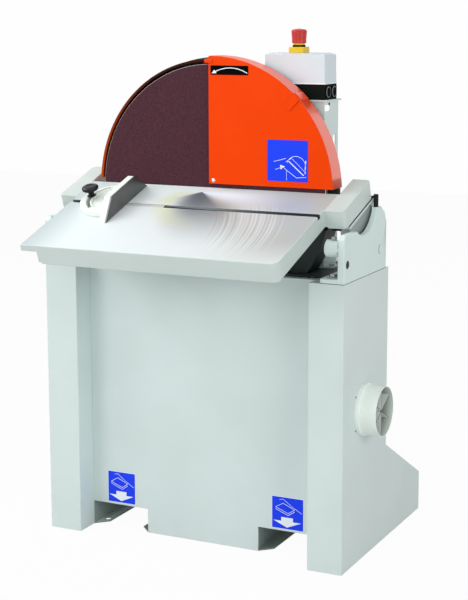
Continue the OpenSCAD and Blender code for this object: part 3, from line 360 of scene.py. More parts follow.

# %% [markdown]
# Three of these coats change along the machine, and each change holds painted shade. The guard's band
# has painted shade and is dull at its lower end, beside the table, and loses its gloss toward the top.
# The guard's ring has painted shade that gets darker toward the top, and the spigot's inside has painted
# shade that gets darker deep inside.

# %% Coats that change along an axis
BAND_FOOT = 0.911, 0.916
BAND_TOP = 1.2, 1.15


def share_along(tree, axis, start, end):
    """Goes from 0 to 1 between two places on an axis, X, Y or Z."""
    place = add(tree, "SeparateXYZ", {"Vector": own_place(tree)}).outputs[axis]
    return ranged(tree, place, start, end)


def changing(name, axis, start, end, first):
    """Gives a coat another colour up to the start, which turns into its own by the end."""
    tree = finishes[name].node_tree
    skin = next(node for node in tree.nodes if node.type == "GROUP")
    share, own = share_along(tree, axis, start, end), skin.inputs["Color"].default_value
    mix = add(tree, "MixRGB", {"Fac": share, "Color1": from_screen(*first), "Color2": own})
    wire(tree, skin, {"Color": mix.outputs["Color"]})


# These three colours are painted shade: on the ring, at the band's lower end and deep in the spigot.
changing("guard_painted_shade", "Z", 0.92, 1.14, (178, 70, 24))
changing("guard_band", "Z", *BAND_FOOT, (196, 64, 22))
changing("spigot_inside_painted_shade", "X", 0.406, 0.452, (38, 44, 44))
band = finishes["guard_band"].node_tree
gloss = worked_out(band, "MULTIPLY", share_along(band, "Z", *BAND_FOOT), share_along(band, "Z", *BAND_TOP))
wire(band, band.nodes["Principled BSDF"], {"Coat Roughness": 0.25, "Coat Weight": gloss})
print("coats that change: guard_painted_shade, guard_band, spigot_inside_painted_shade")

# %% [markdown]
# ## Bare metals
# Ground and drawn steel shows fine lines along the way it was worked. A noise that is stretched hard
# along one direction gives those lines, and the same lines drive the tone, the gloss and the relief.

# %% Shared effect: worked metal
def worked_metal_effect():
    inputs = {"Color": (0.6, 0.6, 0.6, 1), "Roughness": 0.3, "Stretch": (40, 900, 900)}
    tree, given, out = effect("worked_metal", inputs)
    drawn = vector_math(tree, "MULTIPLY", own_place(tree), given["Stretch"])["Vector"]
    lines = add(tree, "TexNoise", {"Vector": drawn, "Scale": 1, "Detail": 3}).outputs["Fac"]
    tone = ranged(tree, lines, low=0.8, high=1.18)
    gloss = ranged(tree, lines, low=-0.1, high=0.1)
    put_out(tree, given, out, tone, gloss, lines)
    return tree


worked_metal = worked_metal_effect()
ALONG_X, ALONG_Y, ALONG_Z = (40, 900, 900), (900, 40, 900), (900, 900, 40)
LINE_RELIEF = 0.00001
for name, colour, roughness, lay, metallic in (
    ("bolt_steel", (172, 175, 176), 0.34, (700, 700, 700), 1),
    ("bright_steel", (205, 208, 210), 0.22, ALONG_X, 1),
    ("core_steel", (112, 104, 98), 0.5, (300, 1600, 300), 1),
    ("pad_brass", (206, 172, 98), 0.3, ALONG_Z, 1),
    ("trunnion_iron", (150, 158, 157), 0.42, ALONG_X, 1),
    ("disc_aluminium", (196, 199, 200), 0.32, ALONG_Y, 1),
    ("fence_grey", (116, 121, 121), 0.42, (700, 30, 30), 1),
    # Iron darkened as painted shade for the table's slot.
    ("slot_painted_shade", (92, 97, 97), 0.5, ALONG_X, 1),
    ("bar_iron", (212, 218, 215), 0.45, ALONG_X, 0.3),
):
    values = {"Color": from_screen(*colour), "Roughness": roughness, "Stretch": lay}
    skinned(name, worked_metal, values, LINE_RELIEF, {"Metallic": metallic})
print("metals and coats so far:", len(finishes))

# %% [markdown]
# ## The abrasive
# The sheet is cloth with brown fused grit glued on. Each grain is under a millimetre, with facets that
# catch the light one by one. Voronoi cells give the grains their colours and heights, and a wider noise
# gives the slight blotches that glue and dust leave.

# %% Abrasive grit
GRAINS_PER_METRE = 1500
GRAIN_RELIEF = 0.0003
GRIT_TONES = (48, 26, 32), (74, 42, 51), (104, 66, 76)


def abrasive_grit():
    finishes["abrasive"], tree, shader = surface("abrasive", {"Specular IOR Level": 0.08})
    place = own_place(tree)
    grains = add(tree, "TexVoronoi", {"Vector": place, "Scale": GRAINS_PER_METRE}).outputs
    blotch = add(tree, "TexNoise", {"Vector": place, "Scale": 150, "Detail": 5, "Roughness": 0.7})
    grain_tone = add(tree, "SeparateColor", {"Color": grains["Color"]}).outputs
    tone = worked_out(tree, "ADD", grain_tone[0], blotch.outputs["Fac"])
    ramp = add(tree, "ValToRGB", {"Fac": ranged(tree, tone, 0.2, 1.8)})
    ramp.color_ramp.elements.new(0.5)
    for stop, colour in zip(ramp.color_ramp.elements, GRIT_TONES):
        stop.color = from_screen(*colour)
    wire(tree, shader, {
        "Base Color": ramp.outputs["Color"],
        "Roughness": ranged(tree, grain_tone[1], low=0.55, high=0.9),
        "Normal": bumped(tree, grains["Distance"], GRAIN_RELIEF),
    })


abrasive_grit()
print("abrasive: grains of", round(1 / GRAINS_PER_METRE / MM, 2), "mm")

# %% [markdown]
# ## The machined table top
# The top was faced with a large cutter, which left wide arcs on the right about a point at the front
# left; the arcs are lightened as a painted highlight. About a point near the disc's foot lies a dark fan,
# a painted reflection of the disc. Both are drawn from two numbers that any point of the top has: its
# distance from such a middle, in metres, and its angle round it, in radians from the front towards the right.

# %% Places on the top
FAN_MIDDLE = table_frame @ Vector((-0.011, -0.031, 0))
ARC_MIDDLE = table_frame @ Vector((-0.2086, -0.285, 0))
to_front = table_frame.to_3x3() @ Vector((0, -1, 0))


def ring_place(tree, middle):
    """The arm from a middle to the shaded point, its length, its reach to the front and its angle."""
    arm = vector_math(tree, "SUBTRACT", own_place(tree), middle)["Vector"]
    radius = vector_math(tree, "LENGTH", arm)["Value"]
    ahead = vector_math(tree, "DOT_PRODUCT", arm, to_front)["Value"]
    angle = worked_out(tree, "ARCTAN2", add(tree, "SeparateXYZ", {"Vector": arm}).outputs["X"], ahead)
    return arm, radius, ahead, angle


def eased(tree, value, start, end):
    """Goes smoothly from 0 at the start to 1 at the end."""
    return ranged(tree, value, start, end, way="SMOOTHSTEP")


def hill(tree, value, middle, reach):
    """1 at the middle value, falling smoothly to 0 a reach away from it."""
    off = worked_out(tree, "SUBTRACT", value, middle)
    return eased(tree, worked_out(tree, "ABSOLUTE", off), reach, 0)


def times(tree, one, other):
    return worked_out(tree, "MULTIPLY", one, other)


def mixed(tree, share, first, second):
    """A colour between two others, each given as read off a screen or as a node's output."""
    colours = (from_screen(*tone) if isinstance(tone, tuple) else tone for tone in (first, second))
    return add(tree, "MixRGB", dict(enumerate((share, *colours)))).outputs["Color"]


print("fan about", short(FAN_MIDDLE), "and arcs about", short(ARC_MIDDLE))

# %% [markdown]
# Under the marks the top's colour is painted reflection: white on the left, greyer at the far left, warm
# grey on the right, bluish by the right ear and palest beside the disc.

# %% Painted reflections on the top
def painted_reflections(tree, radius, ahead, angle):
    aside = times(tree, radius, worked_out(tree, "SINE", angle))
    white = mixed(tree, eased(tree, aside, -0.2, -0.34), (225, 234, 235), (186, 198, 200))
    warm = mixed(tree, eased(tree, ahead, 0.2, 0.38), (180, 188, 185), (216, 229, 227))
    by_ear = times(tree, hill(tree, ahead, 0.05, 0.07), hill(tree, radius, 0.26, 0.1))
    warm = mixed(tree, times(tree, by_ear, 0.5), warm, (170, 184, 203))
    on_right = times(tree, eased(tree, angle, 0.3, 0.85), eased(tree, aside, 0, 0.11))
    by_disc = times(tree, hill(tree, angle, 1.45, 0.55), eased(tree, radius, 0.27, 0.06))
    return mixed(tree, by_disc, mixed(tree, on_right, white, warm), (220, 244, 254))


print("plain tone ready")

# %% [markdown]
# The arcs are made of fine lines, a noise that changes with the radius alone. The fan of painted
# reflection reaches far to the front and only a little to the left, where a faint straw yellow band of
# painted reflection runs along its edge.

# %% Marks on the top
ARC_LINES = 150
ARC_ANGLE, ARC_SPREAD = 1.75, 0.46
ARC_RADIUS, ARC_WIDTH = 0.38, 0.15
FAN_LEAST, FAN_MORE = 0.105, 0.215
FAN_ANGLE, FAN_SPREAD = 0.45, 1.2
STRAW_RADIUS, STRAW_GROWTH, STRAW_WIDTH = 0.155, 0.083, 0.055


def arc_marks(tree):
    """The wide arcs on the right, lightened as a painted highlight, and the fine lines that make them."""
    _, radius, _, angle = ring_place(tree, ARC_MIDDLE)
    noise = add(tree, "TexNoise", {"W": radius, "Scale": ARC_LINES, "Detail": 3}, noise_dimensions="1D")
    lines = noise.outputs["Fac"]
    shown = times(tree, hill(tree, angle, ARC_ANGLE, ARC_SPREAD), hill(tree, radius, ARC_RADIUS, ARC_WIDTH))
    return times(tree, eased(tree, shown, 0, 0.6), eased(tree, lines, 0.32, 0.7)), lines


def fan_painted_reflection(tree, radius, angle):
    """How dark the fan of painted reflection is."""
    more = times(tree, hill(tree, angle, FAN_ANGLE, FAN_SPREAD), FAN_MORE)
    reach = worked_out(tree, "ADD", more, FAN_LEAST)
    near = eased(tree, worked_out(tree, "DIVIDE", radius, reach), 1, 0.05)
    return times(tree, near, eased(tree, hill(tree, angle, 0, 1.4), 0, 0.5))


def straw_band(tree, radius, angle):
    """How yellow the band of painted reflection along the fan's left edge is."""
    edge = worked_out(tree, "ADD", times(tree, angle, STRAW_GROWTH), STRAW_RADIUS)
    along_edge = hill(tree, worked_out(tree, "SUBTRACT", radius, edge), 0, STRAW_WIDTH)
    on_left = times(tree, eased(tree, angle, -1.75, -1.3), eased(tree, angle, 0.6, -0.5))
    return times(tree, along_edge, on_left)


print("marks ready: arcs, fan and straw band")

# %% [markdown]
# The finish lays the arcs' painted highlight, the fan's painted reflection and the straw band over the
# painted reflections of the top one by one. The shader's anisotropy spreads reflections across the rings
# about the fan's middle, as turned metal does, and the fine lines drive the gloss and the relief.

# %% Turned iron
def turned_iron():
    constants = {"Metallic": 0.12, "Anisotropic": 0.5, "Specular IOR Level": 0.3}
    finishes["turned_iron"], tree, shader = surface("turned_iron", constants)
    arm, radius, ahead, angle = ring_place(tree, FAN_MIDDLE)
    arcs, lines = arc_marks(tree)
    colour = painted_reflections(tree, radius, ahead, angle)
    # A painted highlight on the arcs, then the painted reflections of the fan and of the straw band.
    colour = mixed(tree, times(tree, arcs, 0.6), colour, (227, 243, 245))
    colour = mixed(tree, fan_painted_reflection(tree, radius, angle), colour, (98, 109, 117))
    colour = mixed(tree, times(tree, straw_band(tree, radius, angle), 0.6), colour, (214, 222, 178))
    round_way = vector_math(tree, "CROSS_PRODUCT", table_up, arm)["Vector"]
    tangent = add(
        tree, "VectorTransform", {"Vector": round_way},
        vector_type="VECTOR", convert_from="OBJECT", convert_to="WORLD",
    )
    wire(tree, shader, {
        "Base Color": colour,
        "Roughness": ranged(tree, lines, low=0.42, high=0.56),
        "Tangent": tangent.outputs["Vector"],
        "Normal": bumped(tree, lines, LINE_RELIEF),
    })


turned_iron()
print("turned iron:", len(finishes["turned_iron"].node_tree.nodes), "nodes")

# %% [markdown]
# ## Every solid gets its finish
# The record names a finish for each node. Nodes that stay as they are take it here, and the pieces below
# that stand for a node bring their own. The table's casting is painted where it isn't machined.

# %% Finishes on the solids
finishes["table_iron"] = finishes["table_paint"]
slot_of = {part["node"]: part["material_slot"] for part in frame["record"]["subparts"]}
body_of = {node: body for body, nodes in frame["record"]["behaviour"]["bodies"].items() for node in nodes}
for node, solid in frame["nodes"].items():
    solid.data.materials.clear()
    solid.data.materials.append(finishes[slot_of[node]])
print("finished", len(frame["nodes"]), "nodes with", len(set(slot_of.values())), "finishes")

# %% [markdown]
# ## Folded and cast edges
# No real edge is a knife edge: a folded sheet has a bend radius, and a casting has the radius of its
# mould. These round edges catch the light and make paint look like paint. A copy of each solid is merged,
# its flat faces are joined again, and every sharp edge is bevelled. Edges at a corner where more than
# four meet stay as they are, since a bevel there can shoot out a spike.

# %% Helpers that finish a piece
MERGE = 1e-6
FLAT, SHARP, SMOOTH = (math.radians(angle) for angle in (1, 30, 35))
CROWDED, OWN_STEPS = 4, 5


def finish_piece(name, shape, body, materials, stands_for=(), smooth=SMOOTH):
    """A piece of that shape with its materials and its body, which hides the nodes it stands for."""
    piece = as_object(name, shape)
    piece.data.shade_smooth()
    piece.data.set_sharp_from_angle(angle=smooth)
    for material in materials:
        piece.data.materials.append(finishes[material])
    piece.modifiers.new("flat_faces", "WEIGHTED_NORMAL").keep_sharp = True
    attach(piece, body)
    if stands_for:
        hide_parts(*stands_for)


def stand_in(node, ending, shape, materials, smooth=SMOOTH):
    """A piece that stands for one node, on the node's body and with the finishes given."""
    finish_piece(f"{node}_{ending}", shape, body_of[node], materials, [node], smooth)


def bevel(shape, edges, radius, steps):
    bmesh.ops.bevel(
        shape, geom=edges, offset=radius, segments=steps, profile=0.5, material=-1, affect="EDGES",
    )


def softened(node, radius, steps=2, leave=None, own=None, own_radius=0):
    """A copy of a node's solid with its sharp edges rounded, but for those that leave picks out.

    Edges that own picks out get a round of their own first."""
    shape = bmesh.new()
    shape.from_mesh(frame["nodes"][node].data)
    bmesh.ops.remove_doubles(shape, verts=shape.verts, dist=MERGE)
    bmesh.ops.dissolve_limit(shape, angle_limit=FLAT, verts=shape.verts, edges=shape.edges)
    before = shape.calc_volume()
    if own:
        bevel(shape, [edge for edge in shape.edges if own(edge)], own_radius, OWN_STEPS)
    sharp = [
        edge for edge in shape.edges
        if edge.is_manifold and edge.calc_face_angle() > SHARP
        and max(len(end.link_edges) for end in edge.verts) <= CROWDED
        and not (leave and leave(edge))
    ]
    bevel(shape, sharp, radius, steps)
    kept = round(shape.calc_volume() / before, 4)
    print(node, "rounded", len(sharp), "edges, volume", kept, "of the solid's")
    return shape


print("helpers for rounded pieces ready")

# %% [markdown]
# ## The sheet metal and the castings
# Most pieces need nothing but their round edges. Each group has the radius that its way of making leaves:
# a wide bend for thick sheet, a wider one for sand castings, a small break on trimmed and machined edges.

# %% Rounded pieces
FOLD, CAST, TRIM, SOFT = 1.5 * MM, 2.5 * MM, 0.6 * MM, 1 * MM
MOULDED = 1.2 * MM


def rounded(node, radius, finish=None):
    stand_in(node, "rounded", softened(node, radius), [finish or slot_of[node]])


for radius, nodes in (
    (SOFT, ("front_panel", "rear_panel", "switch_post", "stop_base", "mitre_head", "box_base")),
    (TRIM, ("mitre_fence", "terminal_box", "fan_cowl", "motor_plate", "bracket_bolts", "stop_screws",
            "plate_bolts", "disc_plate")),
    (MOULDED, ("stop_head",)),
):
    for node in nodes:
        rounded(node, radius)

# %% [markdown]
# ## Pieces with two finishes
# A rule can pick the faces of a rounded copy that take a second finish. Before that, the copy is cut
# along the planes where the finish ends. The cabinet comes first: its legs and the pocket walls get a
# darker grey inside the fork pockets, painted shade where the pockets are closed in.

# %% Second finishes on the cabinet
POCKET_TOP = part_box("floor_pan")[0][2]
PANEL_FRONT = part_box("front_panel")[0][1]


def cut(shape, place, normal, faces=None):
    """Cuts those faces of a shape along a plane, or all of them."""
    faces = faces or shape.faces[:]
    edges = dict.fromkeys(edge for face in faces for edge in face.edges)
    corners = dict.fromkeys(corner for face in faces for corner in face.verts)
    bmesh.ops.bisect_plane(shape, geom=[*corners, *edges, *faces], plane_co=place, plane_no=normal)


def two_tone(node, radius, second, chosen, cuts=(), first=None, **rounds):
    """A rounded copy whose chosen faces take a second finish, cut first where that finish ends."""
    shape = softened(node, radius, **rounds)
    for place, normal in cuts:
        cut(shape, place, normal)
    shape.normal_update()
    for face in shape.faces:
        face.material_index = int(chosen(face))
    print(node, "has", sum(face.material_index for face in shape.faces), "faces in", second)
    stand_in(node, "rounded", shape, [first or slot_of[node], second])


def in_pocket(face):
    if face.normal.x * face.calc_center_median().x >= 0:
        return False
    return all(corner.co.z < POCKET_TOP + MM and corner.co.y > PANEL_FRONT - MM for corner in face.verts)


pocket_cuts = [((0, 0, POCKET_TOP), (0, 0, 1)), ((0, PANEL_FRONT, 0), (0, 1, 0))]
# Painted shade: the legs' inner faces and the pocket walls are darker inside the pockets.
for node in ("side_frame_left", "side_frame_right"):
    two_tone(node, FOLD, "pocket_painted_shade", in_pocket, pocket_cuts)
two_tone("pocket_walls", SOFT, "pocket_painted_shade", lambda face: abs(face.normal.y) < 0.9)

# %% [markdown]
# The brackets are cast. Each has a thin band of painted shade at its foot, where it meets the leg, and
# painted shade on the wall of its cross hole and round the low boss on its side, whose rim has a small
# round of its own.

# %% Second finishes on the brackets
bracket_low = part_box("bracket_right")[0]
BRACKET_SHADE_TOP = bracket_low.z + 1.6 * MM
BRACKET_HOLE = bracket_low.y + 22 * MM, bracket_low.z + 44 * MM
BRACKET_HOLE_RADIUS = 9.5 * MM
LEG_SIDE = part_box("side_frame_right")[1].x
BOSS_SIDE = LEG_SIDE + NEAR
BOSS_ROUND = 0.4 * MM


def in_bracket_painted_shade(face):
    """The faces that get painted shade: the bracket's foot, and the walls of its cross hole and its low boss."""
    middle = face.calc_center_median()
    in_hole = math.hypot(middle.y - BRACKET_HOLE[0], middle.z - BRACKET_HOLE[1]) < BRACKET_HOLE_RADIUS
    on_boss = abs(middle.x) > BOSS_SIDE
    return middle.z < BRACKET_SHADE_TOP or (in_hole or on_boss) and abs(face.normal.x) < 0.9


def boss_rim(edge):
    return all(abs(corner.co.x) > BOSS_SIDE for corner in edge.verts)


def by_boss(edge):
    return any(abs(corner.co.x) > BOSS_SIDE for face in edge.link_faces for corner in face.verts)


# The foot, the hole's wall and the boss's walls take painted shade.
for node in ("bracket_left", "bracket_right"):
    two_tone(node, CAST, "painted_shade_grey", in_bracket_painted_shade, [((0, 0, BRACKET_SHADE_TOP), (0, 0, 1))],
             leave=by_boss, own=boss_rim, own_radius=BOSS_ROUND)

# %% [markdown]
# The spigot has painted shade inside, and its vanes are pale on their sides and have painted shade in
# front. The guard's ring has painted shade where the disc shades it, the abrasive sheet's rim has a
# painted highlight, and the gauge's bar has another finish on top, where it is ground. The stop's ring is
# plain black.

# %% Second finishes on the smaller pieces
SPIGOT_AXIS = sum(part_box("dust_spigot"), Vector()) / 2
SHEET_ROUND = 0.8 * MM


def in_spigot(face):
    arm = face.calc_center_median() - SPIGOT_AXIS
    return face.normal.y * arm.y + face.normal.z * arm.z < -0.3 * math.hypot(arm.y, arm.z)


def outward(face):
    """How far a face of the disc or its guard looks away from the disc's axis, -1 to 1."""
    arm = face.calc_center_median() - disc_axis
    return (face.normal.x * arm.x + face.normal.z * arm.z) / math.hypot(arm.x, arm.z)


# Painted shade inside the spigot, on the vanes' fronts and on the ring's front and inner faces; a painted
# highlight on the sheet's rim.
two_tone("dust_spigot", TRIM, "spigot_inside_painted_shade", in_spigot, first="spigot_paint")
two_tone("dust_spokes", TRIM, "spigot_paint", lambda face: abs(face.normal.x) < 0.9, first="painted_shade_grey")
two_tone("rim_guard", TRIM, "guard_painted_shade", lambda face: face.normal.y < -0.3 or outward(face) < -0.3)
two_tone("abrasive_sheet", SHEET_ROUND, "sheet_edge_painted_highlight", lambda face: outward(face) > 0.3)
two_tone("mitre_bar", TRIM, "bar_iron", lambda face: face.normal.dot(table_up) > 0.5)
rounded("stop_ring", SOFT, "black_and_painted_shade")

# %% [markdown]
# ## The guard's cover
# The half cover is a flat front and a curved band in one piece, folded over a wide radius. The band is
# glossier than the front, and the clips that hold it have the same gloss.

# %% Guard cover
COVER_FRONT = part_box("guard_cover")[0].y
COVER_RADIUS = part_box("guard_cover")[1].x - disc_axis.x
COVER_FOLD, COVER_EDGE = 3.5 * MM, 1.5 * MM


def cover_fold(edge):
    """The curved outer edge between the cover's front and its band."""
    arms = [corner.co - disc_axis for corner in edge.verts]
    outer = all(math.hypot(arm.x, arm.z) > COVER_RADIUS - COVER_EDGE for arm in arms)
    return outer and all(corner.co.y < COVER_FRONT + NEAR for corner in edge.verts)


def on_band(face):
    return abs(face.normal.y) < 0.3 and outward(face) > 0.2


two_tone("guard_cover", TRIM, "guard_band", on_band, own=cover_fold, own_radius=COVER_FOLD)
two_tone("cover_clips", SOFT, "guard_band", lambda face: abs(face.normal.y) < 0.5)

# %% [markdown]
# ## The table
# One casting: the top is machined between the two ears and bare, and the skirts, the ears and the
# underside are painted. The upright corners of the ears get a wide round first, then all edges but the
# slot's get their small one. The top is cut where the machining ends, and the faces between get the
# turned finish.

# %% Table
MACHINED_HALF = 0.333
SLOT_HALF, SLOT_DEPTH = 10.5 * MM, 20 * MM
EAR_ROUND, EAR_START, EAR_LEAST = 9 * MM, MACHINED_HALF + 10 * MM, 15 * MM
slot_middle = (to_table @ Vector(joints["mitre_swing"]["pos_m"])).y


def in_slot(point):
    """Whether a point lies in the slot that the gauge's bar slides along."""
    return abs((to_table @ point).y - slot_middle) < SLOT_HALF


def slot_edge(edge):
    return all(in_slot(corner.co) for corner in edge.verts)


def ear_corner(edge):
    """The upright outer corners of the ears."""
    way = (edge.verts[1].co - edge.verts[0].co).normalized()
    outside = all(abs(corner.co.x) > EAR_START for corner in edge.verts)
    return outside and abs(way.dot(table_up)) > 0.99 and edge.is_convex and edge.calc_length() > EAR_LEAST


def dressed_table():
    shape = softened("table", FOLD, leave=slot_edge, own=ear_corner, own_radius=EAR_ROUND)
    for side in (-1, 1):
        top = [face for face in shape.faces if face.normal.dot(table_up) > 0.99]
        cut(shape, (side * MACHINED_HALF, 0, 0), (1, 0, 0), top)
    shape.normal_update()
    for face in shape.faces:
        middle = face.calc_center_median()
        depth = -(to_table @ middle).z
        if face.normal.dot(table_up) > 0.99 and depth < MM and abs(middle.x) < MACHINED_HALF:
            face.material_index = 1
        # The slot's walls take iron darkened as painted shade.
        elif all(in_slot(corner.co) for corner in face.verts) and depth < SLOT_DEPTH:
            face.material_index = 2
    print("table:", sum(face.material_index == 1 for face in shape.faces), "machined faces")
    return shape


stand_in("table", "dressed", dressed_table(), ["table_paint", "turned_iron", "slot_painted_shade"])

# %% [markdown]
# ## The trunnions
# A half-moon casting hangs under each ear. Its upper edge is painted with the ear, its sliding face is
# bare iron, and a thin black band of painted shade stands for the gap where it is bolted on. Two cuts
# along the table mark off these bands.

# %% Trunnions
GAP_PAINTED_SHADE, PAINT_BAND = 3 * MM, 10 * MM


def banded_trunnion(node):
    shape = softened(node, TRIM)
    top = max((to_table @ corner.co).z for corner in shape.verts)
    for depth in (GAP_PAINTED_SHADE, PAINT_BAND):
        cut(shape, table_frame @ Vector((0, 0, top - depth)), table_up)
    for face in shape.faces:
        depth = top - (to_table @ face.calc_center_median()).z
        # The top band is black, painted shade for the gap under the ear.
        face.material_index = 2 if depth < GAP_PAINTED_SHADE else 1 if depth < PAINT_BAND else 0
    stand_in(node, "banded", shape, [slot_of[node], "table_paint", "black_and_painted_shade"])


for node in ("trunnion_left", "trunnion_right"):
    banded_trunnion(node)

# %% [markdown]
# ## Helpers for new pieces
# Small fittings are made from three beginnings: a box between two corners, a turned piece spun from half
# of its outline, and a flat mark of a few corners. Each is worked further with bevels, insets and
# extrusions.

# %% Helpers for new pieces
def block(low, high):
    shape = bmesh.new()
    low, high = Vector(low), Vector(high)
    fit = Matrix.Translation((low + high) / 2) @ Matrix.Diagonal((*(high - low), 1))
    bmesh.ops.create_cube(shape, size=1, matrix=fit)
    return shape


def turned(outline, base, axis, steps=32):
    """A round piece spun from points of radius and height, standing on a base point along an axis."""
    shape = bmesh.new()
    corners = [shape.verts.new((radius, 0, height)) for radius, height in outline]
    lines = [shape.edges.new(pair) for pair in zip(corners, corners[1:])]
    bmesh.ops.spin(
        shape, geom=corners + lines, cent=(0, 0, 0), axis=(0, 0, 1), dvec=(0, 0, 0),
        angle=math.tau, steps=steps, use_merge=True,
    )
    bmesh.ops.remove_doubles(shape, verts=shape.verts, dist=MERGE)
    face_out(shape)
    turn = Vector((0, 0, 1)).rotation_difference(Vector(axis)).to_matrix().to_4x4()
    shape.transform(Matrix.Translation(base) @ turn)
    return shape


def face_out(shape):
    bmesh.ops.recalc_face_normals(shape, faces=shape.faces)


def raised(shape, faces, rise):
    """Extrudes faces along a vector, and gives the faces at the far end."""
    grown = bmesh.ops.extrude_face_region(shape, geom=faces)["geom"]
    corners = [part for part in grown if isinstance(part, bmesh.types.BMVert)]
    bmesh.ops.translate(shape, verts=corners, vec=rise)
    return [part for part in grown if isinstance(part, bmesh.types.BMFace)]


def join(target, shape, index=None):
    """Adds a shape to another. With an index, all its faces take that place in the list of finishes."""
    for face in shape.faces:
        face.material_index = face.material_index if index is None else index
    mesh = bpy.data.meshes.new("joined")
    shape.to_mesh(mesh)
    shape.free()
    target.from_mesh(mesh)
    bpy.data.meshes.remove(mesh)
    return target


def along(shape, axis):
    """The edges that run along one axis, 0 to 2."""
    return [e for e in shape.edges if abs((e.verts[1].co - e.verts[0].co).normalized()[axis]) > 0.9]


print("helpers for new pieces ready")

# %% [markdown]
# ## The switch box
# The grey cover is moulded: its sides lean in a little so that it leaves the mould, the two ends of its
# top slope down, and a thin lip runs round its foot.

# %% Switch box
box_low, box_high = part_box("box_cover")
box_middle, box_size = (box_low + box_high) / 2, box_high - box_low
LEAN, SLOPE_FALL, SLOPE_IN = 1.2 * MM, 4 * MM, 7 * MM
END_START, CORNER_START, SIDE_START = 50 * MM, 70 * MM, 20 * MM
CORNER_ROUND = 2 * MM
LIP_OUT, LIP_HEIGHT, LIP_CORNER, LIP_ROUND = 1 * MM, 2.5 * MM, 2.5 * MM, 0.8 * MM


def off_end(edge):
    """All edges but those at the two ends of the cover's top."""
    low = any(corner.co.z < box_high.z - MM for corner in edge.verts)
    return low or any(abs(corner.co.x - box_middle.x) < END_START for corner in edge.verts)


def moulded_cover():
    shape = softened("box_cover", SLOPE_FALL, steps=1, leave=off_end)
    for corner in shape.verts:
        arm = corner.co - box_middle
        outside = max(abs(arm.x) / box_size.x, abs(arm.y) / box_size.y) > 0.47
        share = (corner.co.z - box_low.z) / box_size.z
        rim = corner.co.z > box_high.z - MM and abs(arm.x) > END_START
        pull = LEAN * share * outside + SLOPE_IN * rim
        corner.co.x -= math.copysign(pull, arm.x)
        corner.co.y -= math.copysign(pull, arm.y) if abs(arm.y) > SIDE_START else 0
    far = {v for v in shape.verts if abs(v.co.x - box_middle.x) > CORNER_START}
    bevel(shape, [e for e in along(shape, 2) if far.issuperset(e.verts)], CORNER_ROUND, 3)
    return shape


stand_in("box_cover", "moulded", moulded_cover(), ["box_grey"])
out = Vector((LIP_OUT, LIP_OUT, 0))
lip = block(box_low - out, Vector((*box_high.xy, box_low.z + LIP_HEIGHT)) + out)
bevel(lip, along(lip, 2), LIP_CORNER, 3)
lip_top = box_low.z + LIP_HEIGHT - NEAR
bevel(lip, [e for e in lip.edges if all(v.co.z > lip_top for v in e.verts)], LIP_ROUND, 2)
finish_piece("box_lip", lip, "cabinet", ["print_white"])

# %% [markdown]
# The black base has two cable sockets. Each is a black square with round corners, and a grey ring with a
# black cup is set in it.

# %% Cable sockets
SOCKET_HALF, SOCKET_RISE, SOCKET_INSET, SOCKET_CORNER = 14.5 * MM, 2 * MM, 13 * MM, 4 * MM
SUNK, SUNK_EDGE = 0.4 * MM, 1 * MM
CUP_RADIUS = 11.2 * MM
CUP_OUTLINE = (0, 0.3), (9, 0.3), (11, 0.5), (11.4, 1.2), (12.8, 1.2), (13, 0.5), (13, 0)
socket_low, socket_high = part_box("cable_glands")
box_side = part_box("box_base")[1].x
sockets = bmesh.new()
for y in (socket_low.y + SOCKET_INSET, socket_high.y - SOCKET_INSET):
    z = (socket_low.z + socket_high.z) / 2
    low = (box_side, y - SOCKET_HALF, z - SOCKET_HALF)
    rim = block(low, (box_side + SOCKET_RISE, y + SOCKET_HALF, z + SOCKET_HALF))
    bevel(rim, along(rim, 0), SOCKET_CORNER, 3)
    front = max(rim.faces, key=lambda face: face.calc_center_median().x)
    bmesh.ops.inset_region(rim, faces=[front], thickness=SUNK_EDGE, depth=-SUNK)
    join(sockets, rim, 1)
    outline = [(radius * MM, height * MM) for radius, height in CUP_OUTLINE]
    cup = turned(outline, (box_side + SOCKET_RISE - SUNK, y, z), (1, 0, 0))
    for face in cup.faces:
        arm = face.calc_center_median() - Vector((0, y, z))
        face.material_index = int(math.hypot(arm.y, arm.z) < CUP_RADIUS)
    join(sockets, cup)
socket_finishes = ["socket_grey", "black_and_painted_shade"]
finish_piece("cable_sockets", sockets, "cabinet", socket_finishes, ["cable_glands"])
print("two sockets on the side at x", round(box_side, 3))

# %% [markdown]
# ## Printed plates
# The plates carry plain marks: an arrow for the disc's turn, an arrow for where the forks go, and a line
# drawing. A plate is a thin block with round corners whose front is inset to leave a border. The marks
# are flat shapes raised by a tenth of a millimetre. Corners on a wall are given in x and z, and marks in
# shares of their plate.

# %% Plates and marks
PLATE, PRINT, PLATE_CORNER = 0.6 * MM, 0.12 * MM, 2 * MM
FINE = 1.1 * MM


def in_mm(*values):
    return tuple(value * MM for value in values)


def plate(low, high, wall, border=0.8 * MM):
    """A plate on a wall that faces the front."""
    shape = block((low[0], wall - PLATE, low[1]), (high[0], wall, high[1]))
    bevel(shape, along(shape, 1), PLATE_CORNER, 3)
    front = min(shape.faces, key=lambda face: face.calc_center_median().y)
    bmesh.ops.inset_region(shape, faces=[front], thickness=border)
    front.material_index = 1
    return shape


def mark(points, wall):
    """A flat mark with those corners."""
    shape = bmesh.new()
    face = shape.faces.new([shape.verts.new((x, wall, z)) for x, z in points])
    raised(shape, [face], (0, -PRINT, 0))
    face_out(shape)
    return shape


def line(start, end, width, wall):
    across = (end - start).orthogonal().normalized() * width / 2
    return mark([start - across, end - across, end + across, start + across], wall)


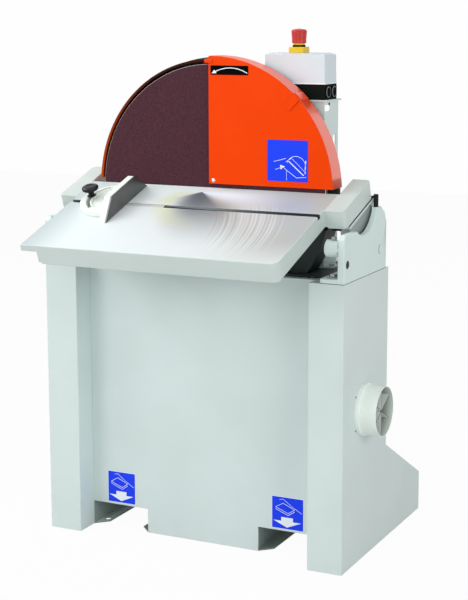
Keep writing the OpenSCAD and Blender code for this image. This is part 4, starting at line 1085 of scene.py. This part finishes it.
def arc(middle, radius, width, start, end, wall):
    """A curved line about a middle point, between two angles from the right, in degrees."""
    shape = bmesh.new()
    start, end = math.radians(start), math.radians(end)
    way = Vector((math.cos(start), 0, math.sin(start)))
    foot = Vector((middle[0], wall - PRINT, middle[1]))
    corners = [shape.verts.new(foot + way * reach) for reach in (radius - width / 2, radius + width / 2)]
    edge = shape.edges.new(corners)
    bmesh.ops.spin(
        shape, geom=corners + [edge], cent=(middle[0], wall, middle[1]), axis=(0, -1, 0), dvec=(0, 0, 0),
        angle=end - start, steps=24,
    )
    bmesh.ops.solidify(shape, geom=shape.faces[:], thickness=PRINT)
    face_out(shape)
    return shape


def on_plate(low, high):
    """Turns shares of a plate's width and height into x and z."""
    return lambda u, v: Vector((low[0] + u * (high[0] - low[0]), low[1] + v * (high[1] - low[1])))


def draw(target, at, lines, wall):
    """Adds lines to a plate, each from one place to another, with its width in fine lines."""
    for u, v, to_u, to_v, width in lines:
        join(target, line(at(u, v), at(to_u, to_v), width * FINE, wall), 2)


print("helpers for plates ready")

# %% [markdown]
# The arrow plate's bow is part of a circle, and its head is a triangle that points the way the disc
# turns.

# %% Turn arrow
BOW, BOW_WIDTH = 91 * MM, 2 * MM
low, high = in_mm(2, 1153), in_mm(102, 1175)
at = on_plate(low, high)
arrow = plate(low, high, COVER_FRONT)
print_front = COVER_FRONT - PLATE
join(arrow, arc(at(0.523, 0.754) - Vector((0, BOW)), BOW, BOW_WIDTH, 60, 115.5, print_front), 2)
join(arrow, mark([at(0.028, 0.158), at(0.162, 0.175), at(0.102, 0.544)], print_front), 2)
finish_piece("turn_arrow", arrow, "cabinet", ["black_and_painted_shade", "black_and_painted_shade", "print_white"])
print("turn arrow", round((high[0] - low[0]) / MM), "mm long")

# %% [markdown]
# The blue plate shows a disc behind a table in thin lines, with one arrow at the gap.

# %% Line drawing
low, high = in_mm(152, 905), in_mm(257, 1003)
at = on_plate(low, high)
drawing = plate(low, high, COVER_FRONT, border=0.7 * MM)
join(drawing, arc(at(0.71, 0.36), 0.24 * (high[0] - low[0]), FINE, -28, 158, print_front), 2)
draw(drawing, at, (
    (0.52, 0.50, 0.90, 0.16, 2),
    (0.60, 0.57, 0.96, 0.22, 0.7),
    (0.46, 0.48, 0.60, 0.57, 1),
    (0.42, 0.32, 0.72, 0.10, 1),
    (0.48, 0.26, 0.48, 0.03, 0.7),
    (0.72, 0.10, 0.96, 0.12, 1),
    (0.20, 0.28, 0.38, 0.35, 0.8),
    (0.93, 0.20, 0.95, 0.52, 2),
    (0.16, 0.47, 0.46, 0.56, 1),
), print_front)
join(drawing, mark([at(0.33, 0.29), at(0.44, 0.36), at(0.32, 0.40)], print_front), 2)
finish_piece("line_drawing", drawing, "cabinet", ["print_blue", "print_blue", "print_white"])
print("line drawing", round((high[0] - low[0]) / MM), "mm wide")

# %% [markdown]
# Two plates over the fork pockets have a wide arrow that points down, and thin lines of two fork arms
# above it.

# %% Fork arrows
ARROW = (0.30, 0.37), (0.30, 0.25), (0.05, 0.25), (0.48, 0.06), (0.92, 0.25), (0.67, 0.25), (0.67, 0.37)
print_front = PANEL_FRONT - PLATE
forks = bmesh.new()
for low, high in ((in_mm(-269, 67), in_mm(-189, 149)), (in_mm(191, 67), in_mm(275, 148))):
    at = on_plate(low, high)
    join(forks, plate(low, high, PANEL_FRONT, border=1 * MM))
    join(forks, mark([at(*corner) for corner in ARROW], print_front), 2)
    draw(forks, at, (
        (0.12, 0.66, 0.36, 0.80, 1),
        (0.12, 0.66, 0.52, 0.50, 1),
        (0.36, 0.80, 0.72, 0.64, 1),
        (0.12, 0.60, 0.52, 0.44, 1),
        (0.52, 0.50, 0.72, 0.64, 1),
        (0.52, 0.44, 0.72, 0.58, 1),
        (0.36, 0.93, 0.62, 0.74, 0.8),
        (0.62, 0.74, 0.94, 0.55, 0.8),
        (0.24, 0.90, 0.36, 0.93, 0.8),
    ), print_front)
finish_piece("fork_arrows", forks, "cabinet", ["print_white", "print_blue", "print_white"])
print("fork arrow plates: 2")

# %% [markdown]
# ## Screws and rivets
# A few small round heads are all spun from one domed outline: the rivet in the cover's corner, four
# screws round the spigot and one on the switch post.

# %% Small heads
RIVET_RADIUS, RIVET_RISE = 5 * MM, 2 * MM
SCREW_CIRCLE, SCREW_RADIUS, SCREW_RISE = 67 * MM, 2.2 * MM, 1.2 * MM
POST_SCREW_PLACE = box_side, -56 * MM, 1084 * MM
POST_SCREW_RADIUS, POST_SCREW_RISE = 3.6 * MM, 2 * MM


def dome(base, axis, radius, rise):
    shares = (0, 1), (0.45, 0.93), (0.8, 0.6), (1, 0.12), (1, 0)
    return turned([(across * radius, up * rise) for across, up in shares], base, axis, 20)


rivet_low, rivet_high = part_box("cover_rivet")
rivet_at = Vector(((rivet_low.x + rivet_high.x) / 2, COVER_FRONT, (rivet_low.z + rivet_high.z) / 2))
stand_in("cover_rivet", "domed", dome(rivet_at, (0, -1, 0), RIVET_RADIUS, RIVET_RISE), ["bright_steel"])
screws = bmesh.new()
for angle in (38, 142, 218, 322):
    y = SPIGOT_AXIS.y + SCREW_CIRCLE * math.cos(math.radians(angle))
    z = SPIGOT_AXIS.z + SCREW_CIRCLE * math.sin(math.radians(angle))
    join(screws, dome((LEG_SIDE, y, z), (1, 0, 0), SCREW_RADIUS, SCREW_RISE))
join(screws, dome(POST_SCREW_PLACE, (1, 0, 0), POST_SCREW_RADIUS, POST_SCREW_RISE))
finish_piece("small_screws", screws, "cabinet", ["black_and_painted_shade"])
print("heads: 1 rivet, 5 screws")

# %% [markdown]
# ## The strap's mark
# The strap that holds the guard's band is pressed into the cover, which leaves a low square step on its
# front. The step is drawn lying on the X axis and then turned up to its place. Its two long sides get
# painted shade.

# %% Strap step
STRAP_HALF, STRAP_IN, STRAP_OUT, STRAP_RISE = 11 * MM, 284 * MM, COVER_RADIUS + 3 * MM, 2 * MM
STRAP_CORNER, STRAP_TURN = 3 * MM, math.radians(-45)
strap = block((STRAP_IN, COVER_FRONT - STRAP_RISE, -STRAP_HALF), (STRAP_OUT, COVER_FRONT, STRAP_HALF))
bevel(strap, [e for e in along(strap, 1) if e.verts[0].co.x < STRAP_IN + MM], STRAP_CORNER, 3)
bevel(strap, [e for e in strap.edges if all(v.co.y < COVER_FRONT - MM for v in e.verts)], TRIM, 2)
strap.normal_update()
# The step's sides take painted shade.
for face in strap.faces:
    face.material_index = int(abs(face.normal.z) > 0.7)
turn_up = Matrix.Rotation(STRAP_TURN, 4, "Y")
strap.transform(Matrix.Translation((disc_axis.x, 0, disc_axis.z)) @ turn_up)
finish_piece("strap_step", strap, "cabinet", ["guard_orange", "guard_painted_shade"])
print("strap step", round(2 * STRAP_HALF / MM), "mm wide")

# %% [markdown]
# ## Lock knobs
# The tilt is locked by two slim knobs. Their grip is ribbed: every third corner of a circle is drawn in,
# the star is raised to the grip's height, and the top is inset and domed. A thin stem goes down into the
# bracket.

# %% Lock knobs
RIBS, RIB_DEPTH, STEM_RADIUS, GRIP_HEIGHT, GRIP_DOME = 12, 0.12, 4 * MM, 30 * MM, 1.5 * MM
STEM_TIP, STEM_TIP_RISE = 0.7, 1 * MM
RIB_SMOOTH = math.radians(25)


def ribbed_knob(node):
    low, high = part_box(node)
    x, y, radius = (low.x + high.x) / 2, (low.y + high.y) / 2, (high.x - low.x) / 2
    shape = bmesh.new()
    ring = bmesh.ops.create_circle(shape, cap_ends=True, segments=3 * RIBS, radius=radius)["verts"]
    for corner in ring[::3]:
        corner.co *= 1 - RIB_DEPTH
    top = raised(shape, shape.faces[:], (0, 0, GRIP_HEIGHT - GRIP_DOME))
    bmesh.ops.inset_region(shape, faces=top, thickness=GRIP_DOME, depth=GRIP_DOME)
    face_out(shape)
    shape.transform(Matrix.Translation((x, y, high.z - GRIP_HEIGHT)))
    stem = high.z - GRIP_HEIGHT - low.z
    tip = [(0, 0), (STEM_TIP * STEM_RADIUS, 0), (STEM_RADIUS, STEM_TIP_RISE)]
    return join(shape, turned([*tip, (STEM_RADIUS, stem), (0, stem)], (x, y, low.z), (0, 0, 1)))


for node in ("lock_knob_left", "lock_knob_right"):
    stand_in(node, "ribbed", ribbed_knob(node), ["knob_black"], RIB_SMOOTH)
print("lock knobs with", RIBS, "ribs")

# %% [markdown]
# ## The gauge's clamp knob
# The moulded knob has a shallow dimple on top, where the mould was filled. Its top face is inset twice,
# the second time downwards.

# %% Clamp knob
DIMPLE_EDGE, DIMPLE_WALL, DIMPLE_DEPTH = 5 * MM, 1.5 * MM, 1.2 * MM
knob = softened("mitre_knob", MOULDED, 3)
knob.normal_update()
knob_top = max(knob.faces, key=lambda face: (to_table @ face.calc_center_median()).z)
bmesh.ops.inset_region(knob, faces=[knob_top], thickness=DIMPLE_EDGE)
bmesh.ops.inset_region(knob, faces=[knob_top], thickness=DIMPLE_WALL, depth=-DIMPLE_DEPTH)
stand_in("mitre_knob", "moulded", knob, ["knob_black"])
print("clamp knob with a dimple")
